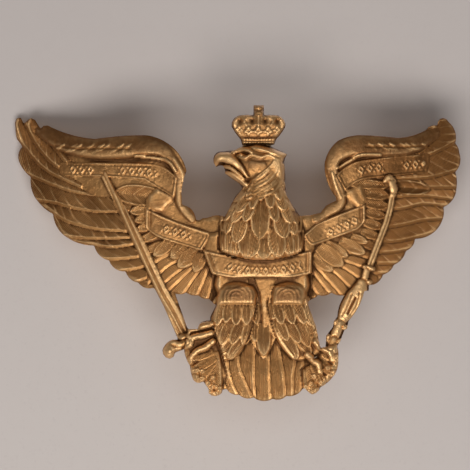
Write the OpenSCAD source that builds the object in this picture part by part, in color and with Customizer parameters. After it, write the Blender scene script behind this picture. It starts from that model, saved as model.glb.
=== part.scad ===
// Cap badge: a spread eagle stamped from one brass sheet, bent to the front of a helmet and
// held by two threaded posts. x runs to the viewer's right, z up, and the face looks along -y.
// The origin lies midway between the posts, where they enter the helmet's shell.

/* [Sheet] */
// Distance between the two wing tips
span = 156; // [140:1:170]
// Thickness of the stamped brass sheet
sheet_t = 0.8; // [0.6:0.05:1]
// Radius of the bend that fits the sheet to the helmet
bend_r = 140; // [120:5:180]
// Height of the rolled leading edge of each wing
edge_lift = 2.4; // [1.5:0.1:3]
// Height of the wing coverts above the flight feathers
covert_lift = 0.7; // [0.4:0.1:1.2]
// Height of the ribbon
ribbon_lift = 1.5; // [1:0.1:2]
// Height of the sword and the sceptre
arms_lift = 2.2; // [1.5:0.1:3]
// Depth of the grooves between the flight feathers
groove_depth = 0.4; // [0.2:0.05:0.5]

/* [Body of the eagle] */
// Height of the chest above the sheet
chest_lift = 9; // [7:0.5:11]
// Height of the head above the sheet
head_lift = 6.5; // [5:0.5:8]
// Height of the crown above the sheet
crown_lift = 4; // [3:0.5:5]
// Height of the belly above the sheet
belly_lift = 3; // [2:0.5:4]
// Height of the thighs above the sheet
thigh_lift = 4.5; // [3:0.5:6]
// Height of the tail above the sheet
tail_lift = 2.2; // [1.5:0.1:3]

/* [Fixing posts] */
// Distance between the two posts
post_pitch = 56; // [50:1:60]
// Diameter of the posts and of their thread
post_d = 3; // [2.5:0.1:3.2]
// Distance from the origin to the inner end of each post
post_len = 13; // [13:0.5:16]
// Length of plain shank behind the origin, up to the thread
shank_len = 3; // [2.5:0.1:4]
// Pitch of the thread
thread_pitch = 0.5; // [0.4:0.05:0.6]
// Gap between the sheet and the helmet at the posts
standoff = 1.6; // [1.5:0.1:2]
// Diameter of the flat foot that is soldered to the sheet
foot_d = 6; // [5:0.5:6]
// Thickness of the foot
foot_t = 0.6; // [0.5:0.1:0.7]
// Width of the solder round the foot
solder_w = 1.6; // [1:0.1:2]
// Distance from the foot to the helmet
foot_gap = 0.3; // [0.2:0.05:0.4]

/* [Washers and nuts] */
// Diameter of the leather washers
leather_d = 11; // [9:0.5:14]
// Thickness of the leather washers
leather_t = 1.6; // [1:0.1:2]
// Diameter of the brass washers
washer_d = 9; // [7:0.5:11]
// Thickness of the brass washers
washer_t = 0.6; // [0.4:0.1:0.8]
// Width of the square nuts across their flats
nut_w = 7.5; // [6:0.5:9]
// Thickness of the square nuts
nut_t = 2.4; // [2:0.1:3]
// Radial running clearance of washers and nuts on the posts
clearance = 0.06; // [0.05:0.01:0.1]

/* [Hidden] */
$fn = 64;
brass = [0.67, 0.49, 0.29];
dull_brass = [0.55, 0.43, 0.27];
solder_grey = [0.42, 0.41, 0.39];
leather_brown = [0.30, 0.18, 0.10];
eps = 0.01;

// The outlines below are drawn for this span and scaled to the chosen one
drawn_span = 156;
k = span / drawn_span;
post_x = post_pitch / 2;
// The back of the sheet stands this far in front of the origin's plane at the posts
axis_y = sqrt(pow(bend_r, 2) - pow(post_x, 2)) - standoff;
// Front of the flat sheet on the centre line
front_y = axis_y - bend_r - sheet_t;
reach_front = 30;
reach_back = 45;
reach_z = 75 * k;
wall = 1;
arc_step = 22;
// Heights of the low ground round the crown, the head, the chest and the thighs
crown_ground = 0.8;
head_ground = 2;
chest_ground = 1;
thigh_ground = 0.5;
// How far the ribbon stands out where it lies on the belly
belly_ribbon_lift = belly_lift + ribbon_lift;

// ---- Outlines -------------------------------------------------------------------------
// Each corner is [x, z] or [x, z, bulge]. A bulge turns the side after the corner into an
// arc: positive bows outward on an anticlockwise outline, and 1 would be a half circle.

left_wing = [
    [-6, -18], [-10, 4], [-12.5, 6.5, 0.2], [-17, 7, -0.1], [-20.5, 6.2, -0.2], [-22.8, 5.4, 0.2],
    [-25, 9.8, 0.1], [-27.8, 10.8, 0.02], [-28, 15, -0.08], [-26.2, 22.5, 0.22], [-33.8, 32.8, 0.16],
    [-43.5, 35, 0.03], [-58, 33.8, -0.1], [-74.8, 38.6, 0.4], [-77.3, 37.4], [-79.3, 40.6, 0.6],
    [-82.2, 40.2], [-83.3, 39.2], [-84.4, 41.4, 0.6], [-86.7, 39.8, 0.12], [-85.8, 34], [-83.8, 31.3, 0.35],
    [-84.6, 25.2, 0.12], [-80.8, 20.6, 0.22], [-78.2, 12, 0.12], [-72.9, 7.7, 0.25], [-67.8, -0.6, 0.15],
    [-58.4, -3.3, 0.3], [-53.2, -8.5, 0.35], [-47.4, -12.3, 0.3], [-43, -16.2, 0.35], [-37.4, -17.9],
    [-30.5, -19.5, 0.35], [-26.4, -19.6, 0.2], [-22, -20.6, 0.3], [-18.4, -21.8, 0.1], [-16, -23.8]
];
right_wing = [
    [6, -18], [15, -23], [17.4, -21.8, 0.2], [19.4, -20.4, 0.3], [24, -19.6, 0.2], [28, -20.6],
    [35.8, -16.4, 0.2], [38.6, -16.9, 0.25], [42, -13.4, 0.25], [45.8, -10, 0.25], [50, -5.2, 0.3],
    [53.2, -1, 0.32], [62.8, 5.5, 0.15], [63.2, 10.1, 0.3], [67.8, 16.5, 0.12], [67.4, 22.3, 0.3],
    [68.9, 29, 0.18], [67.4, 32.4, 0.3], [65, 39.8, 0.45], [62, 40.8, 0.3], [61.2, 38.5],
    [60.2, 38.5, 0.3], [57, 36.9, -0.12], [47, 34.1, 0.02], [34, 35, 0.1], [26.5, 33.2, 0.2],
    [21.6, 25, 0.18], [25.5, 13.5], [25.8, 12.2, 0.1], [22, 10.4], [20.2, 8, 0.1], [17, 7.2], [12, 7]
];
left_edge_roll = [
    [-29.6, 13.6], [-28, 15, -0.08], [-26.2, 22.5, 0.22], [-33.8, 32.8, 0.16], [-43.5, 35, 0.03],
    [-58, 33.8, -0.1], [-75, 38, 0.2], [-73.5, 28.5, 0.05], [-65, 26.4, 0.05], [-46, 27.8, -0.1],
    [-33.4, 26, -0.2], [-28.8, 20, -0.1]
];
right_edge_roll = [
    [25.8, 13], [26.8, 16, -0.1], [25.6, 20.5, -0.1], [31, 25.8, -0.1], [43, 27.7], [58, 29, 0.2],
    [60, 38, 0.1], [57, 36.9, -0.12], [47, 34.1, 0.02], [34, 35, 0.1], [26.5, 33.2, 0.2], [21.6, 25, 0.18]
];
left_coverts = [
    [-14, -18], [-10, 4], [-25, 8], [-29, 14, 0.1], [-30, 22, 0.3], [-44, 27.5], [-72, 27.5, 0.2],
    [-74, 21, 0.3], [-66, 16, 0.3], [-63, 10, 0.3], [-56, 5, 0.3], [-52, -0.5, 0.3], [-45, -4, 0.3],
    [-41, -9, 0.3], [-35, -12, 0.3], [-29, -14.5, 0.3], [-22, -16, 0.3]
];
right_coverts = [
    [14, -18], [20, -15, 0.3], [26, -14, 0.3], [32, -11, 0.3], [37, -7, 0.3], [41, -2, 0.3],
    [46, 3, 0.3], [50, 9, 0.3], [54, 15, 0.3], [58, 22, 0.2], [58, 28], [42, 27.5, 0.1],
    [27, 22, 0.1], [26, 12], [18, 6], [10, 4]
];
ribbon_strips = [
    [[-71, 25.9], [-70.2, 20.7, -0.03], [-41, 19.4, 0], [-30.5, 13, 0], [-29.4, 20, 0.25], [-40, 25.4]],
    [[-40.4, 9.8], [-40.5, 2.7, 0.1], [-34.5, -1.2], [-21, -5.2], [-18.6, -1, 0.2], [-18.4, 1.3, -0.05]],
    [[14.4, 0.6, 0.3], [17.6, -3.4], [33.1, 2.1, 0.1], [35.8, 5.2], [35.8, 11.1, 0.02], [18.8, 4.3]],
    [[58.6, 28.7, 0.02], [36, 26.6, 0.2], [25.6, 21.2], [28.9, 15.3, -0.2], [37, 19.8], [57.6, 21.8]]
];
// The middle of the ribbon, which crosses the belly
middle_strip = [[-20.6, -4.6], [-17.4, -13.1, 0.13], [17, -12.9], [17.2, -4.9, -0.13]];
ribbon_folds = [
    [[-36.4, 16.8, 0.2], [-40.1, 9.2], [-35.6, 7.4], [-30.9, 13.9], [-32, 15]],
    [[29.4, 15.9], [28.6, 14], [34.8, 8.4], [36.4, 12.8], [34.4, 18]],
    [[-19.4, 0.8], [-20.2, -5.6], [-14, -8.6], [-14.5, 1.4]],
    [[13.6, 1.2], [13.6, -8], [17.8, -5.4], [18.2, -2.6]]
];
sword_blade = [
    [-54.4, 23, 0.1], [-55.8, 20.6], [-37.4, -18], [-34, -24.6], [-29.4, -35.2], [-25.4, -33.4],
    [-28, -26], [-30, -20.4], [-53, 19.6]
];
sword_hilt = [
    [-29.6, -34.6], [-27.6, -39.2], [-24.2, -38.6], [-23.6, -36.6], [-25.6, -33.2]
];
sceptre_shaft = [
    [46, 17.6, 0.1], [44, 19.4, 0.4], [43.2, 16], [35.4, -9.6], [33.8, -19], [37, -19], [37.2, -10],
    [45.4, 13]
];
sceptre_head = [
    [33, -13], [30, -19, 0.2], [26.1, -28], [24.9, -29.5], [24.6, -31.4], [22.2, -34.6], [22, -38.2],
    [25.8, -38.4], [27, -36.6], [28.6, -32.4], [29.4, -32.2], [30, -29.4, 0.12], [35.2, -20], [37, -12.5]
];
crown_shape = [
    [-7, 31.6], [4.2, 31.6], [4.8, 33.4, 0.08], [8.1, 38, 0.35], [5.6, 41.7, 0.1], [0.6, 41.8],
    [0.6, 45.4], [-3, 45.4], [-3, 41.8, 0.1], [-8.2, 41.7, 0.35], [-10.6, 38, 0.08], [-7.4, 33.4]
];
head_shape = [
    [-12, 4], [10, 4], [8.4, 14], [8, 18, 0.05], [7.6, 25.4, -0.1], [8.6, 28.2, 0.1], [-2, 32.4, 0.1],
    [-9.5, 29.7], [-15, 29.2, 0.3], [-16.9, 26.8, 0.2], [-15.9, 23.9, -0.2], [-13.5, 24.4],
    [-12.8, 22.6, 0.4],
    [-12.1, 21], [-8, 18.2], [-6.6, 16.2], [-9, 12]
];
body_shape = [
    [-14.6, -18], [14.6, -18], [14.8, 0, 0.1], [12.4, 8], [8.4, 14], [8, 18], [-6.4, 17], [-9.4, 13.6],
    [-13, 6.4, 0.1]
];
// The feathered chest ends in an arc above the middle of the ribbon
chest_shape = [
    [-14.6, -5.2, 0.22], [14.6, -5.2], [14.8, 0, 0.1], [12.4, 8], [8.4, 14], [8, 18], [-6.4, 17],
    [-9.4, 13.6], [-13, 6.4, 0.1]
];
// The left thigh, drawn once and mirrored
thigh_shape = [
    [-2, -16], [-15, -18, 0.1], [-16, -24], [-18.6, -31], [-20.4, -40, 0.2], [-15, -43, 0.2],
    [-10, -42.6, 0.1], [-4, -34], [-1.6, -24]
];
// The belly under the ribbon and between the thighs
belly_shape = [
    [-15, -14], [-16, -19], [-3, -24], [-3, -36], [0.6, -41.4], [3.4, -36], [3, -24], [15, -19], [15, -14]
];
tail_shape = [
    [-18, -28], [-18, -48], [-14, -53.2], [-12.3, -53, 0.3], [-8, -55, 0.3], [-3, -55.9, 0.3],
    [3.6, -56.4, 0.3], [8.4, -55.4, 0.3], [14, -53, 0.1], [17, -50], [18, -40], [18.2, -30], [15, -22],
    [-15, -22]
];
// Scroll, leaves and talons round each foot
left_claw = [
    [-25.6, -32.2], [-27, -40, 0.1], [-25, -45, 0.1], [-23.8, -50, 0.4], [-20.4, -50.4], [-18.5, -53, 0.5],
    [-17.4, -55.3, 0.3], [-14, -54.4], [-12, -48], [-14, -40], [-17, -31], [-18, -29.4, 0.3],
    [-21.6, -30.4, 0.2], [-22.2, -32.2]
];
right_claw = [
    [26, -37.8, 0.1], [22, -38.4], [20.6, -38.6], [18.8, -42], [13, -46], [14, -52], [16.2, -54.2, 0.5],
    [18.6, -54.4, 0.2], [20.2, -52.4, 0.1], [24.4, -49, 0.2], [26.4, -43, 0.1]
];
quillon = [
    [-27.4, -36], [-31, -35.9, 0.25], [-34.6, -39.6, 0.4], [-32, -42.6, 0.4], [-30.2, -40.4], [-27.4, -39.4]
];

// Hollows behind the rolled edges and the blade
left_edge_hollow = [
    [-27.4, 22.2], [-34.4, 32, 0.14], [-43.5, 34, 0.03], [-58, 32.8], [-72, 36], [-72, 29.6], [-65, 27.6],
    [-46, 29, -0.1], [-33.6, 27.4, -0.1]
];
right_edge_hollow = [
    [23, 24.6], [26, 23.2], [31, 26.9, -0.1], [43, 28.9], [57, 30.2], [57, 35.8], [47, 33, 0.02],
    [34, 33.9, 0.1], [27.2, 32.4, 0.14]
];
blade_hollow = [[-53, 20], [-33.6, -23.4], [-29, -33], [-26.8, -32], [-31.4, -21.4]];

// Grooves between the flight feathers, from the notch in the wing's edge to the root
left_grooves = [
    [[-77.3, 37.4], [-70, 27]], [[-83.3, 39.2], [-72, 25]], [[-83.8, 31.3], [-66, 21]],
    [[-80.8, 20.6], [-60, 14]], [[-72.9, 7.7], [-52, 8.5]], [[-58.4, -3.3], [-46, -1]],
    [[-53.2, -8.5], [-42, -6]], [[-47.4, -12.3], [-39, -11]], [[-26.4, -19.6], [-19, -9]],
    [[-22, -20.6], [-16, -12]], [[-30.5, -19.5], [-24, -6]]
];
right_grooves = [
    [[61.2, 38.5], [56, 28]], [[67.4, 32.4], [57, 26]], [[67.4, 22.3], [54, 19]],
    [[63.2, 10.1], [48, 12]], [[53.2, -1], [42, 3]], [[50, -5.2], [40, -2]], [[45.8, -10], [37, -6]],
    [[42, -13.4], [35, -10]], [[24, -19.6], [17, -10]], [[28, -20.6], [20, -8]]
];
tail_grooves = [
    [[-12.3, -53], [-9, -38]], [[-8, -55], [-6, -38]], [[-3, -55.9], [-2.4, -36]],
    [[3.6, -56.4], [2.6, -36]], [[8.4, -55.4], [6, -38]], [[14, -53], [9, -38]]
];

// ---- Outline functions ----------------------------------------------------------------

// Points of one side of an outline, from corner a up to but not including corner b
function side(a, b) =
    let (bulge = len(a) > 2 ? a[2] : 0, run = [b[0] - a[0], b[1] - a[1]], chord = norm(run))
    bulge == 0 ? [[a[0], a[1]] * k] :
    let (
        turn = 4 * atan(bulge),
        radius = chord / (2 * sin(turn / 2)),
        rise = radius * cos(turn / 2) / chord,
        centre = [(a[0] + b[0]) / 2 - run[1] * rise, (a[1] + b[1]) / 2 + run[0] * rise],
        start = atan2(a[1] - centre[1], a[0] - centre[0]),
        steps = max(2, ceil(abs(turn) / arc_step))
    )
    [for (i = [0 : steps - 1])
        let (t = start + turn * i / steps)
        (centre + abs(radius) * [cos(t), sin(t)]) * k];

function outline(corners) =
    [for (i = [0 : len(corners) - 1]) each side(corners[i], corners[(i + 1) % len(corners)])];

function mirrored(corners) =
    [for (i = [len(corners) - 1 : -1 : 0])
        let (c = corners[i], before = corners[(i + len(corners) - 1) % len(corners)])
        [-c[0], c[1], len(before) > 2 ? before[2] : 0]];

// Unit normal to the left of the direction from a to b
function normal(a, b) = let (d = b - a) [-d[1], d[0]] / max(norm(d), eps);

// The same outline moved inward by d at every point
function inset(points, d) =
    let (n = len(points))
    [for (i = [0 : n - 1])
        let (
            p = points[i],
            m = normal(points[(i + n - 1) % n], p) + normal(p, points[(i + 1) % n])
        )
        p + d * m / max(norm(m), 0.5)];

// ---- Building blocks ------------------------------------------------------------------

// Everything within radius r of the bend's axis, which stands upright behind the badge
module bend(r) {
    translate([0, axis_y, -reach_z])
        cylinder(r = r, h = 2 * reach_z, $fn = 720);
}

// A prism along y with the given outline, through the whole depth of the sheet
module prism(points) {
    translate([0, reach_back, 0])
        rotate([90, 0, 0])
            linear_extrude(reach_back + reach_front)
                polygon(points);
}

// A raised form: its front follows the bend, at the given height above the flat sheet
module raised(corners, lift) {
    intersection() {
        prism(outline(corners));
        bend(bend_r + sheet_t + lift);
    }
}

// The hollow that stamping leaves behind a raised form, with the given outline
module hollow(points, lift) {
    intersection() {
        prism(points);
        bend(bend_r + lift);
    }
}

// A groove that narrows from just outside the notch to the root
module groove(notch, root) {
    across = normal(notch, root) * 0.45;
    mouth = notch + (notch - root) / norm(notch - root);
    prism([mouth * k + across, root * k, mouth * k - across]);
}

// A spindle about an upright or leaning axis, with rows of feathers as steps
module spindle(r_mid, half_len, rows, trim) {
    step = 2 * half_len / rows;
    rotate_extrude($fn = 72)
        polygon(concat(
            [[0, half_len]],
            [for (i = [0 : rows - 1], s = [0, 1])
                let (
                    z = half_len - step * (i + s),
                    swell = sqrt(max(0, 1 - pow(z / half_len * 0.92, 2)))
                )
                [max(0.2, r_mid * swell + s * 0.35 - trim), z]],
            [[0, -half_len]]
        ));
}

// ---- The stamped plate ----------------------------------------------------------------

// Depth of a round form's axis behind the front, for a given half width and height
function sunk(half_w, lift) = (pow(half_w, 2) - pow(lift, 2)) / (2 * lift);

module chest_form(trim) {
    half_w = 14.8 * k;
    depth = sunk(half_w, chest_lift);
    translate([0, front_y + depth, -2 * k])
        spindle(depth + chest_lift, 25 * k, 8, trim);
}

module thigh_form(side, trim) {
    half_w = 8 * k;
    depth = sunk(half_w, thigh_lift);
    translate([side * 9.4 * k, front_y + depth, -29 * k])
        rotate([0, side * -12, 0])
            spindle(depth + thigh_lift, 16 * k, 4, trim);
}

module head_form() {
    half_w = 9 * k;
    depth = sunk(half_w, head_lift);
    translate([-1 * k, front_y + depth, 23.5 * k])
        sphere(r = depth + head_lift);
}

// A smaller ball than the head, so that its hollow stays within the outline
module head_hollow() {
    half_w = 6 * k;
    lift = head_lift - 2 * sheet_t;
    depth = sunk(half_w, lift);
    translate([0, front_y + depth, 23 * k])
        sphere(r = depth + lift);
}

module crown_form() {
    half_w = 9.3 * k;
    depth = sunk(half_w, crown_lift);
    r = depth + crown_lift;
    translate([-1.2 * k, front_y + depth, 0])
        rotate_extrude($fn = 72)
            polygon([
                [0, 45.4 * k], [r - 3.2, 45.4 * k], [r - 3.2, 43.6 * k], [r - 1.8, 42 * k],
                [r - 0.4, 40.6 * k],
                [r, 38.8 * k], [r - 1, 36 * k], [r - 2, 34.4 * k], [r - 1.2, 34 * k], [r - 1.2, 31.8 * k],
                [0, 31.6 * k]
            ]);
}

module round_forms() {
    intersection() {
        prism(outline(chest_shape));
        chest_form(0);
    }
    intersection() {
        prism(outline(head_shape));
        head_form();
    }
    intersection() {
        prism(outline(crown_shape));
        crown_form();
    }
    intersection() {
        prism(outline(thigh_shape));
        thigh_form(-1, 0);
    }
    intersection() {
        prism(outline(mirrored(thigh_shape)));
        thigh_form(1, 0);
    }
}

module crown_beads() {
    for (i = [-2 : 2])
        translate([(i * 2.3 - 1.2) * k, front_y - crown_lift * (0.72 - 0.1 * i * i), 39 * k])
            sphere(r = 0.8, $fn = 24);
}

// Cuts to the given depth below a front that stands lift above the flat sheet
module feather_grooves(list, lift) {
    difference() {
        union() {
            for (g = list) groove(g[0], g[1]);
        }
        bend(bend_r + sheet_t + lift - groove_depth);
    }
}

module wings() {
    difference() {
        union() {
            raised(left_wing, 0);
            raised(right_wing, 0);
        }
        feather_grooves(concat(left_grooves, right_grooves), 0);
    }
    raised(left_coverts, covert_lift);
    raised(right_coverts, covert_lift);
    raised(left_edge_roll, edge_lift);
    raised(right_edge_roll, edge_lift);
}

module tail() {
    difference() {
        raised(tail_shape, tail_lift);
        feather_grooves(tail_grooves, tail_lift);
    }
}

module ribbon() {
    for (strip = ribbon_strips) raised(strip, ribbon_lift);
    raised(middle_strip, belly_ribbon_lift);
    for (fold = ribbon_folds) raised(fold, ribbon_lift / 2);
}

module sword_and_sceptre() {
    raised(sword_blade, arms_lift);
    raised(sword_hilt, arms_lift + 0.6);
    raised(quillon, arms_lift);
    raised(sceptre_shaft, arms_lift);
    raised(sceptre_head, arms_lift + 0.4);
    raised(left_claw, arms_lift);
    raised(right_claw, arms_lift);
}

module body_forms() {
    raised(crown_shape, crown_ground);
    raised(head_shape, head_ground);
    raised(body_shape, chest_ground);
    raised(belly_shape, belly_lift);
    raised(thigh_shape, thigh_ground);
    raised(mirrored(thigh_shape), thigh_ground);
    crown_beads();
    round_forms();
}

// The inside of a form that is hollow behind, kept within its inset outline
module round_hollow(corners) {
    intersection() {
        prism(inset(outline(corners), wall));
        children();
    }
}

module hollows() {
    hollow(outline(left_edge_hollow), edge_lift);
    hollow(outline(right_edge_hollow), edge_lift);
    hollow(outline(blade_hollow), arms_lift);
    hollow(inset(outline(left_coverts), wall), covert_lift);
    hollow(inset(outline(right_coverts), wall), covert_lift);
    for (strip = ribbon_strips) hollow(inset(outline(strip), wall), ribbon_lift);
    for (shape = [tail_shape, left_claw, right_claw]) hollow(inset(outline(shape), wall), tail_lift);
    hollow(inset(outline(middle_strip), wall), belly_ribbon_lift);
    hollow(inset(outline(belly_shape), wall), belly_lift);
    round_hollow(chest_shape) chest_form(sheet_t);
    round_hollow(thigh_shape) thigh_form(-1, sheet_t);
    round_hollow(mirrored(thigh_shape)) thigh_form(1, sheet_t);
    head_hollow();
}

// Where a post is soldered on, the sheet has no hollow
module post_pad(side) {
    translate([side * post_x, -reach_front, 0])
        rotate([-90, 0, 0])
            cylinder(d = foot_d + 2 * solder_w + 2, h = reach_front);
}

module eagle_plate() {
    color(brass)
        difference() {
            union() {
                wings();
                tail();
                ribbon();
                sword_and_sceptre();
                body_forms();
            }
            bend(bend_r);
            difference() {
                hollows();
                for (side = [-1, 1]) post_pad(side);
            }
        }
}

// ---- Posts, solder, washers and nuts --------------------------------------------------

// Places its children on the post at side -1 (viewer's left) or 1, with their z along +y
module on_post(side, y) {
    translate([side * post_x, y, 0])
        rotate([-90, 0, 0])
            children();
}

// Turned post: a flat foot, a plain shank and a thread cut as rings of the true pitch
module post(side) {
    r = post_d / 2;
    root_r = r - 0.6 * thread_pitch;
    turns = floor((post_len - shank_len - 0.4) / thread_pitch);
    thread = [for (i = [0 : turns - 1], crest = [0, 1])
        [crest ? r : root_r, shank_len + thread_pitch * (i + (crest ? 1 : 0.5))]];
    foot_z = -foot_gap - foot_t;
    color(dull_brass)
        on_post(side, 0)
            rotate_extrude()
                polygon(concat(
                    [[0, foot_z], [foot_d / 2, foot_z], [foot_d / 2, -foot_gap]],
                    [[r, -foot_gap], [r, shank_len]],
                    thread,
                    [[root_r, post_len], [0, post_len]]
                ));
}

// Solder that fills the space between the foot and the sheet and stands round the foot's rim
module solder(side) {
    edge_y = -foot_gap - foot_t / 2;
    color(solder_grey)
        difference() {
            intersection() {
                on_post(side, edge_y - 2 * standoff)
                    cylinder(d = foot_d + 2 * solder_w, h = 2 * standoff);
                bend(bend_r);
            }
            on_post(side, -foot_gap - foot_t)
                cylinder(d = foot_d, h = foot_t + 1);
        }
}

module ring(side, y, d, t) {
    on_post(side, y)
        difference() {
            cylinder(d = d, h = t);
            translate([0, 0, -1])
                cylinder(r = post_d / 2 + clearance, h = t + 2);
        }
}

leather_y = shank_len + 0.1;
washer_y = leather_y + leather_t;
nut_y = washer_y + washer_t + 0.08;

module leather_washer(side) {
    color(leather_brown)
        ring(side, leather_y, leather_d, leather_t);
}

module brass_washer(side) {
    color(brass)
        ring(side, washer_y, washer_d, washer_t);
}

// Square nut with chamfered corners
module nut(side) {
    color(dull_brass)
        on_post(side, nut_y)
            difference() {
                intersection() {
                    translate([-nut_w / 2, -nut_w / 2, 0])
                        cube([nut_w, nut_w, nut_t]);
                    cylinder(r1 = nut_w * 0.72, r2 = nut_w * 0.6, h = nut_t);
                }
                translate([0, 0, -1])
                    cylinder(r = post_d / 2 + clearance, h = nut_t + 2);
            }
}

eagle_plate();
post(-1);  // left_post
post(1);  // right_post
solder(-1);  // left_solder
solder(1);  // right_solder
leather_washer(-1);  // left_leather_washer
leather_washer(1);  // right_leather_washer
brass_washer(-1);  // left_brass_washer
brass_washer(1);  // right_brass_washer
nut(-1);  // left_nut
nut(1);  // right_nut
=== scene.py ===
"""Looks of the eagle badge: a stamped brass plate in front of a pale board, with its posts,
leather and brass washers and square nuts behind. All outlines are in millimetres in the
frame's own axes: x to the viewer's right, z up, and the face looks along -y."""

import math

import bpy
import numpy as np
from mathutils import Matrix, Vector


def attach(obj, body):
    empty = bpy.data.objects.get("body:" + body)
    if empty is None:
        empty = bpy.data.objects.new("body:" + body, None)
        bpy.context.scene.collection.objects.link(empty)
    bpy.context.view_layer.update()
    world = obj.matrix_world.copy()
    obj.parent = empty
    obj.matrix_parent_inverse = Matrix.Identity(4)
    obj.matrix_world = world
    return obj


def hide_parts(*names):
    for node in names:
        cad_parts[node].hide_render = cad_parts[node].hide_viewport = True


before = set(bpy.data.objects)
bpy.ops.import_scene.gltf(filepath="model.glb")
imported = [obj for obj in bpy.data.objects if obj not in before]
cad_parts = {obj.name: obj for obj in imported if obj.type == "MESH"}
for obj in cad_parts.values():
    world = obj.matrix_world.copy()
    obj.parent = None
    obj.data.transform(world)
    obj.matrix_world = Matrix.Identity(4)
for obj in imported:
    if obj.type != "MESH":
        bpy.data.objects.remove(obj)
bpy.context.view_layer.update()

MM = 0.001

# ---- Sizes, in millimetres --------------------------------------------------------------

BEND_R = 140.0
SHEET_T = 0.8
POST_X = 28.0
STANDOFF = 1.6
AXIS_Y = math.sqrt(BEND_R**2 - POST_X**2) - STANDOFF

FACE_CELL = 0.3
BACK_CELL = 0.62
GRID_X = (-87.4, 70.2)
GRID_Z = (-58.2, 46.4)

CHEST_LIFT = 8.6
BELLY_LIFT = 4.6
HEAD_LIFT = 6.2
CROWN_LIFT = 3.8
LOWEST, HIGHEST = -0.35, 9.1
RIM_WIDE, RIM_DROP = 0.8, 0.45
RIBBON_RISE = {"left_top": 0.3, "left_low": 0.7, "middle": 1.1, "right_low": 0.7, "right_top": 0.3}

# Ornament: spacing of the fine strands and of the ribbon's lozenges, the numbers of neck locks
# and of strokes on each wing's roll, and how far the chest's feathers spread outwards
STRAND_PITCH = 0.46
LOZENGE_STEP = 3.1
LOCK_COUNT = 9
EDGE_STROKES = 8
CHEST_SPREAD = 0.34

# ---- Outlines -----------------------------------------------------------------------------
# Corners are (x, z) or (x, z, bulge): the side after the corner is an arc that bows outward
# on an anticlockwise outline, and a bulge of 1 would be a half circle.

LEFT_WING = [
    (-6, -18), (-10, 4), (-12.5, 6.5, 0.2), (-17, 7, -0.1), (-20.5, 6.2, -0.2), (-22.8, 5.4, 0.2),
    (-25, 9.8, 0.1), (-27.8, 10.8, 0.02), (-28, 15, -0.08), (-26.2, 22.5, 0.22), (-33.8, 32.8, 0.16),
    (-43.5, 35, 0.03), (-58, 33.8, -0.1), (-74.8, 38.6, 0.4), (-77.3, 37.4), (-79.3, 40.6, 0.6),
    (-82.2, 40.2), (-83.3, 39.2), (-84.4, 41.4, 0.6), (-86.4, 39.8, 0.05), (-85.8, 34), (-83.8, 31.3, 0.35),
    (-84.6, 25.2, 0.12), (-80.8, 20.6, 0.22), (-78.2, 12, 0.12), (-72.9, 7.7, 0.25), (-67.8, -0.6, 0.15),
    (-58.4, -3.3, 0.3), (-53.2, -8.5, 0.35), (-47.4, -12.3, 0.3), (-43, -16.2, 0.35), (-37.4, -17.9),
    (-30.5, -19.5, 0.35), (-26.4, -19.6, 0.2), (-22, -20.6, 0.3), (-18.4, -21.8, 0.1), (-16, -23.8),
]
RIGHT_WING = [
    (6, -18), (15, -23), (17.4, -21.8, 0.2), (19.4, -20.4, 0.3), (24, -19.6, 0.2), (28, -20.6),
    (35.8, -16.4, 0.2), (38.6, -16.9, 0.25), (42, -13.4, 0.25), (45.8, -10, 0.25), (50, -5.2, 0.3),
    (53.2, -1, 0.32), (62.8, 5.5, 0.15), (63.2, 10.1, 0.3), (67.8, 16.5, 0.12), (67.4, 22.3, 0.3),
    (68.8, 29, 0.18), (67.4, 32.4, 0.3), (65, 39.8, 0.45), (62, 40.8, 0.3), (61.2, 38.5),
    (60.2, 38.5, 0.3), (57, 36.9, -0.12), (47, 34.1, 0.02), (34, 35, 0.1), (26.5, 33.2, 0.2),
    (21.6, 25, 0.18), (25.5, 13.5), (25.8, 12.2, 0.1), (22, 10.4), (20.2, 8, 0.1), (17, 7.2), (12, 7),
]
RIBBON = {
    "left_top": [(-71, 25.9), (-70.2, 20.7, -0.03), (-41, 19.4), (-30.5, 13), (-29.4, 20, 0.25), (-40, 25.4)],
    "left_low": [
        (-40.4, 9.8), (-40.5, 2.7, 0.1), (-34.5, -1.2), (-21, -5.2), (-18.6, -1, 0.2), (-18.4, 1.3, -0.05),
    ],
    "middle": [(-20.6, -4.6), (-17.4, -13.1, 0.13), (17, -12.9), (17.2, -4.9, -0.13)],
    "right_low": [
        (14.4, 0.6, 0.3), (17.6, -3.4), (33.1, 2.1, 0.1), (35.8, 5.2), (35.8, 11.1, 0.02), (18.8, 4.3),
    ],
    "right_top": [
        (58.6, 28.7, 0.02), (36, 26.6, 0.2), (25.6, 21.2), (28.9, 15.3, -0.2), (37, 19.8), (57.6, 21.8),
    ],
}
FOLDS = {
    "left": [(-36.4, 16.8, 0.2), (-40.1, 12.4), (-40.1, 8.8), (-34.6, 8.4, -0.1), (-31.2, 12), (-31, 15.4)],
    "right": [(29.4, 15.9), (28.6, 14), (34.8, 8.4), (36.4, 12.8), (34.4, 18)],
    "left_body": [(-19.4, 0.8), (-20.2, -5.6), (-14, -8.6), (-14.5, 1.4)],
    "right_body": [(13.6, 1.2), (13.6, -8), (17.8, -5.4), (18.2, -2.6)],
}
SWORD_BLADE = [
    (-54.4, 23, 0.1), (-55.8, 20.6), (-37.4, -18), (-34, -24.6), (-29.4, -35.2), (-25.4, -33.4),
    (-28, -26), (-30, -20.4), (-53, 19.6),
]
SWORD_HILT = [(-29.6, -34.6), (-27.6, -39.2), (-24.2, -38.6), (-23.6, -36.6), (-25.6, -33.2)]
QUILLON = [
    (-27.4, -36), (-31, -35.9, 0.25), (-34.6, -39.6, 0.4), (-32, -42.6, 0.4), (-30.2, -40.4), (-27.4, -39.4),
]
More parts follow.
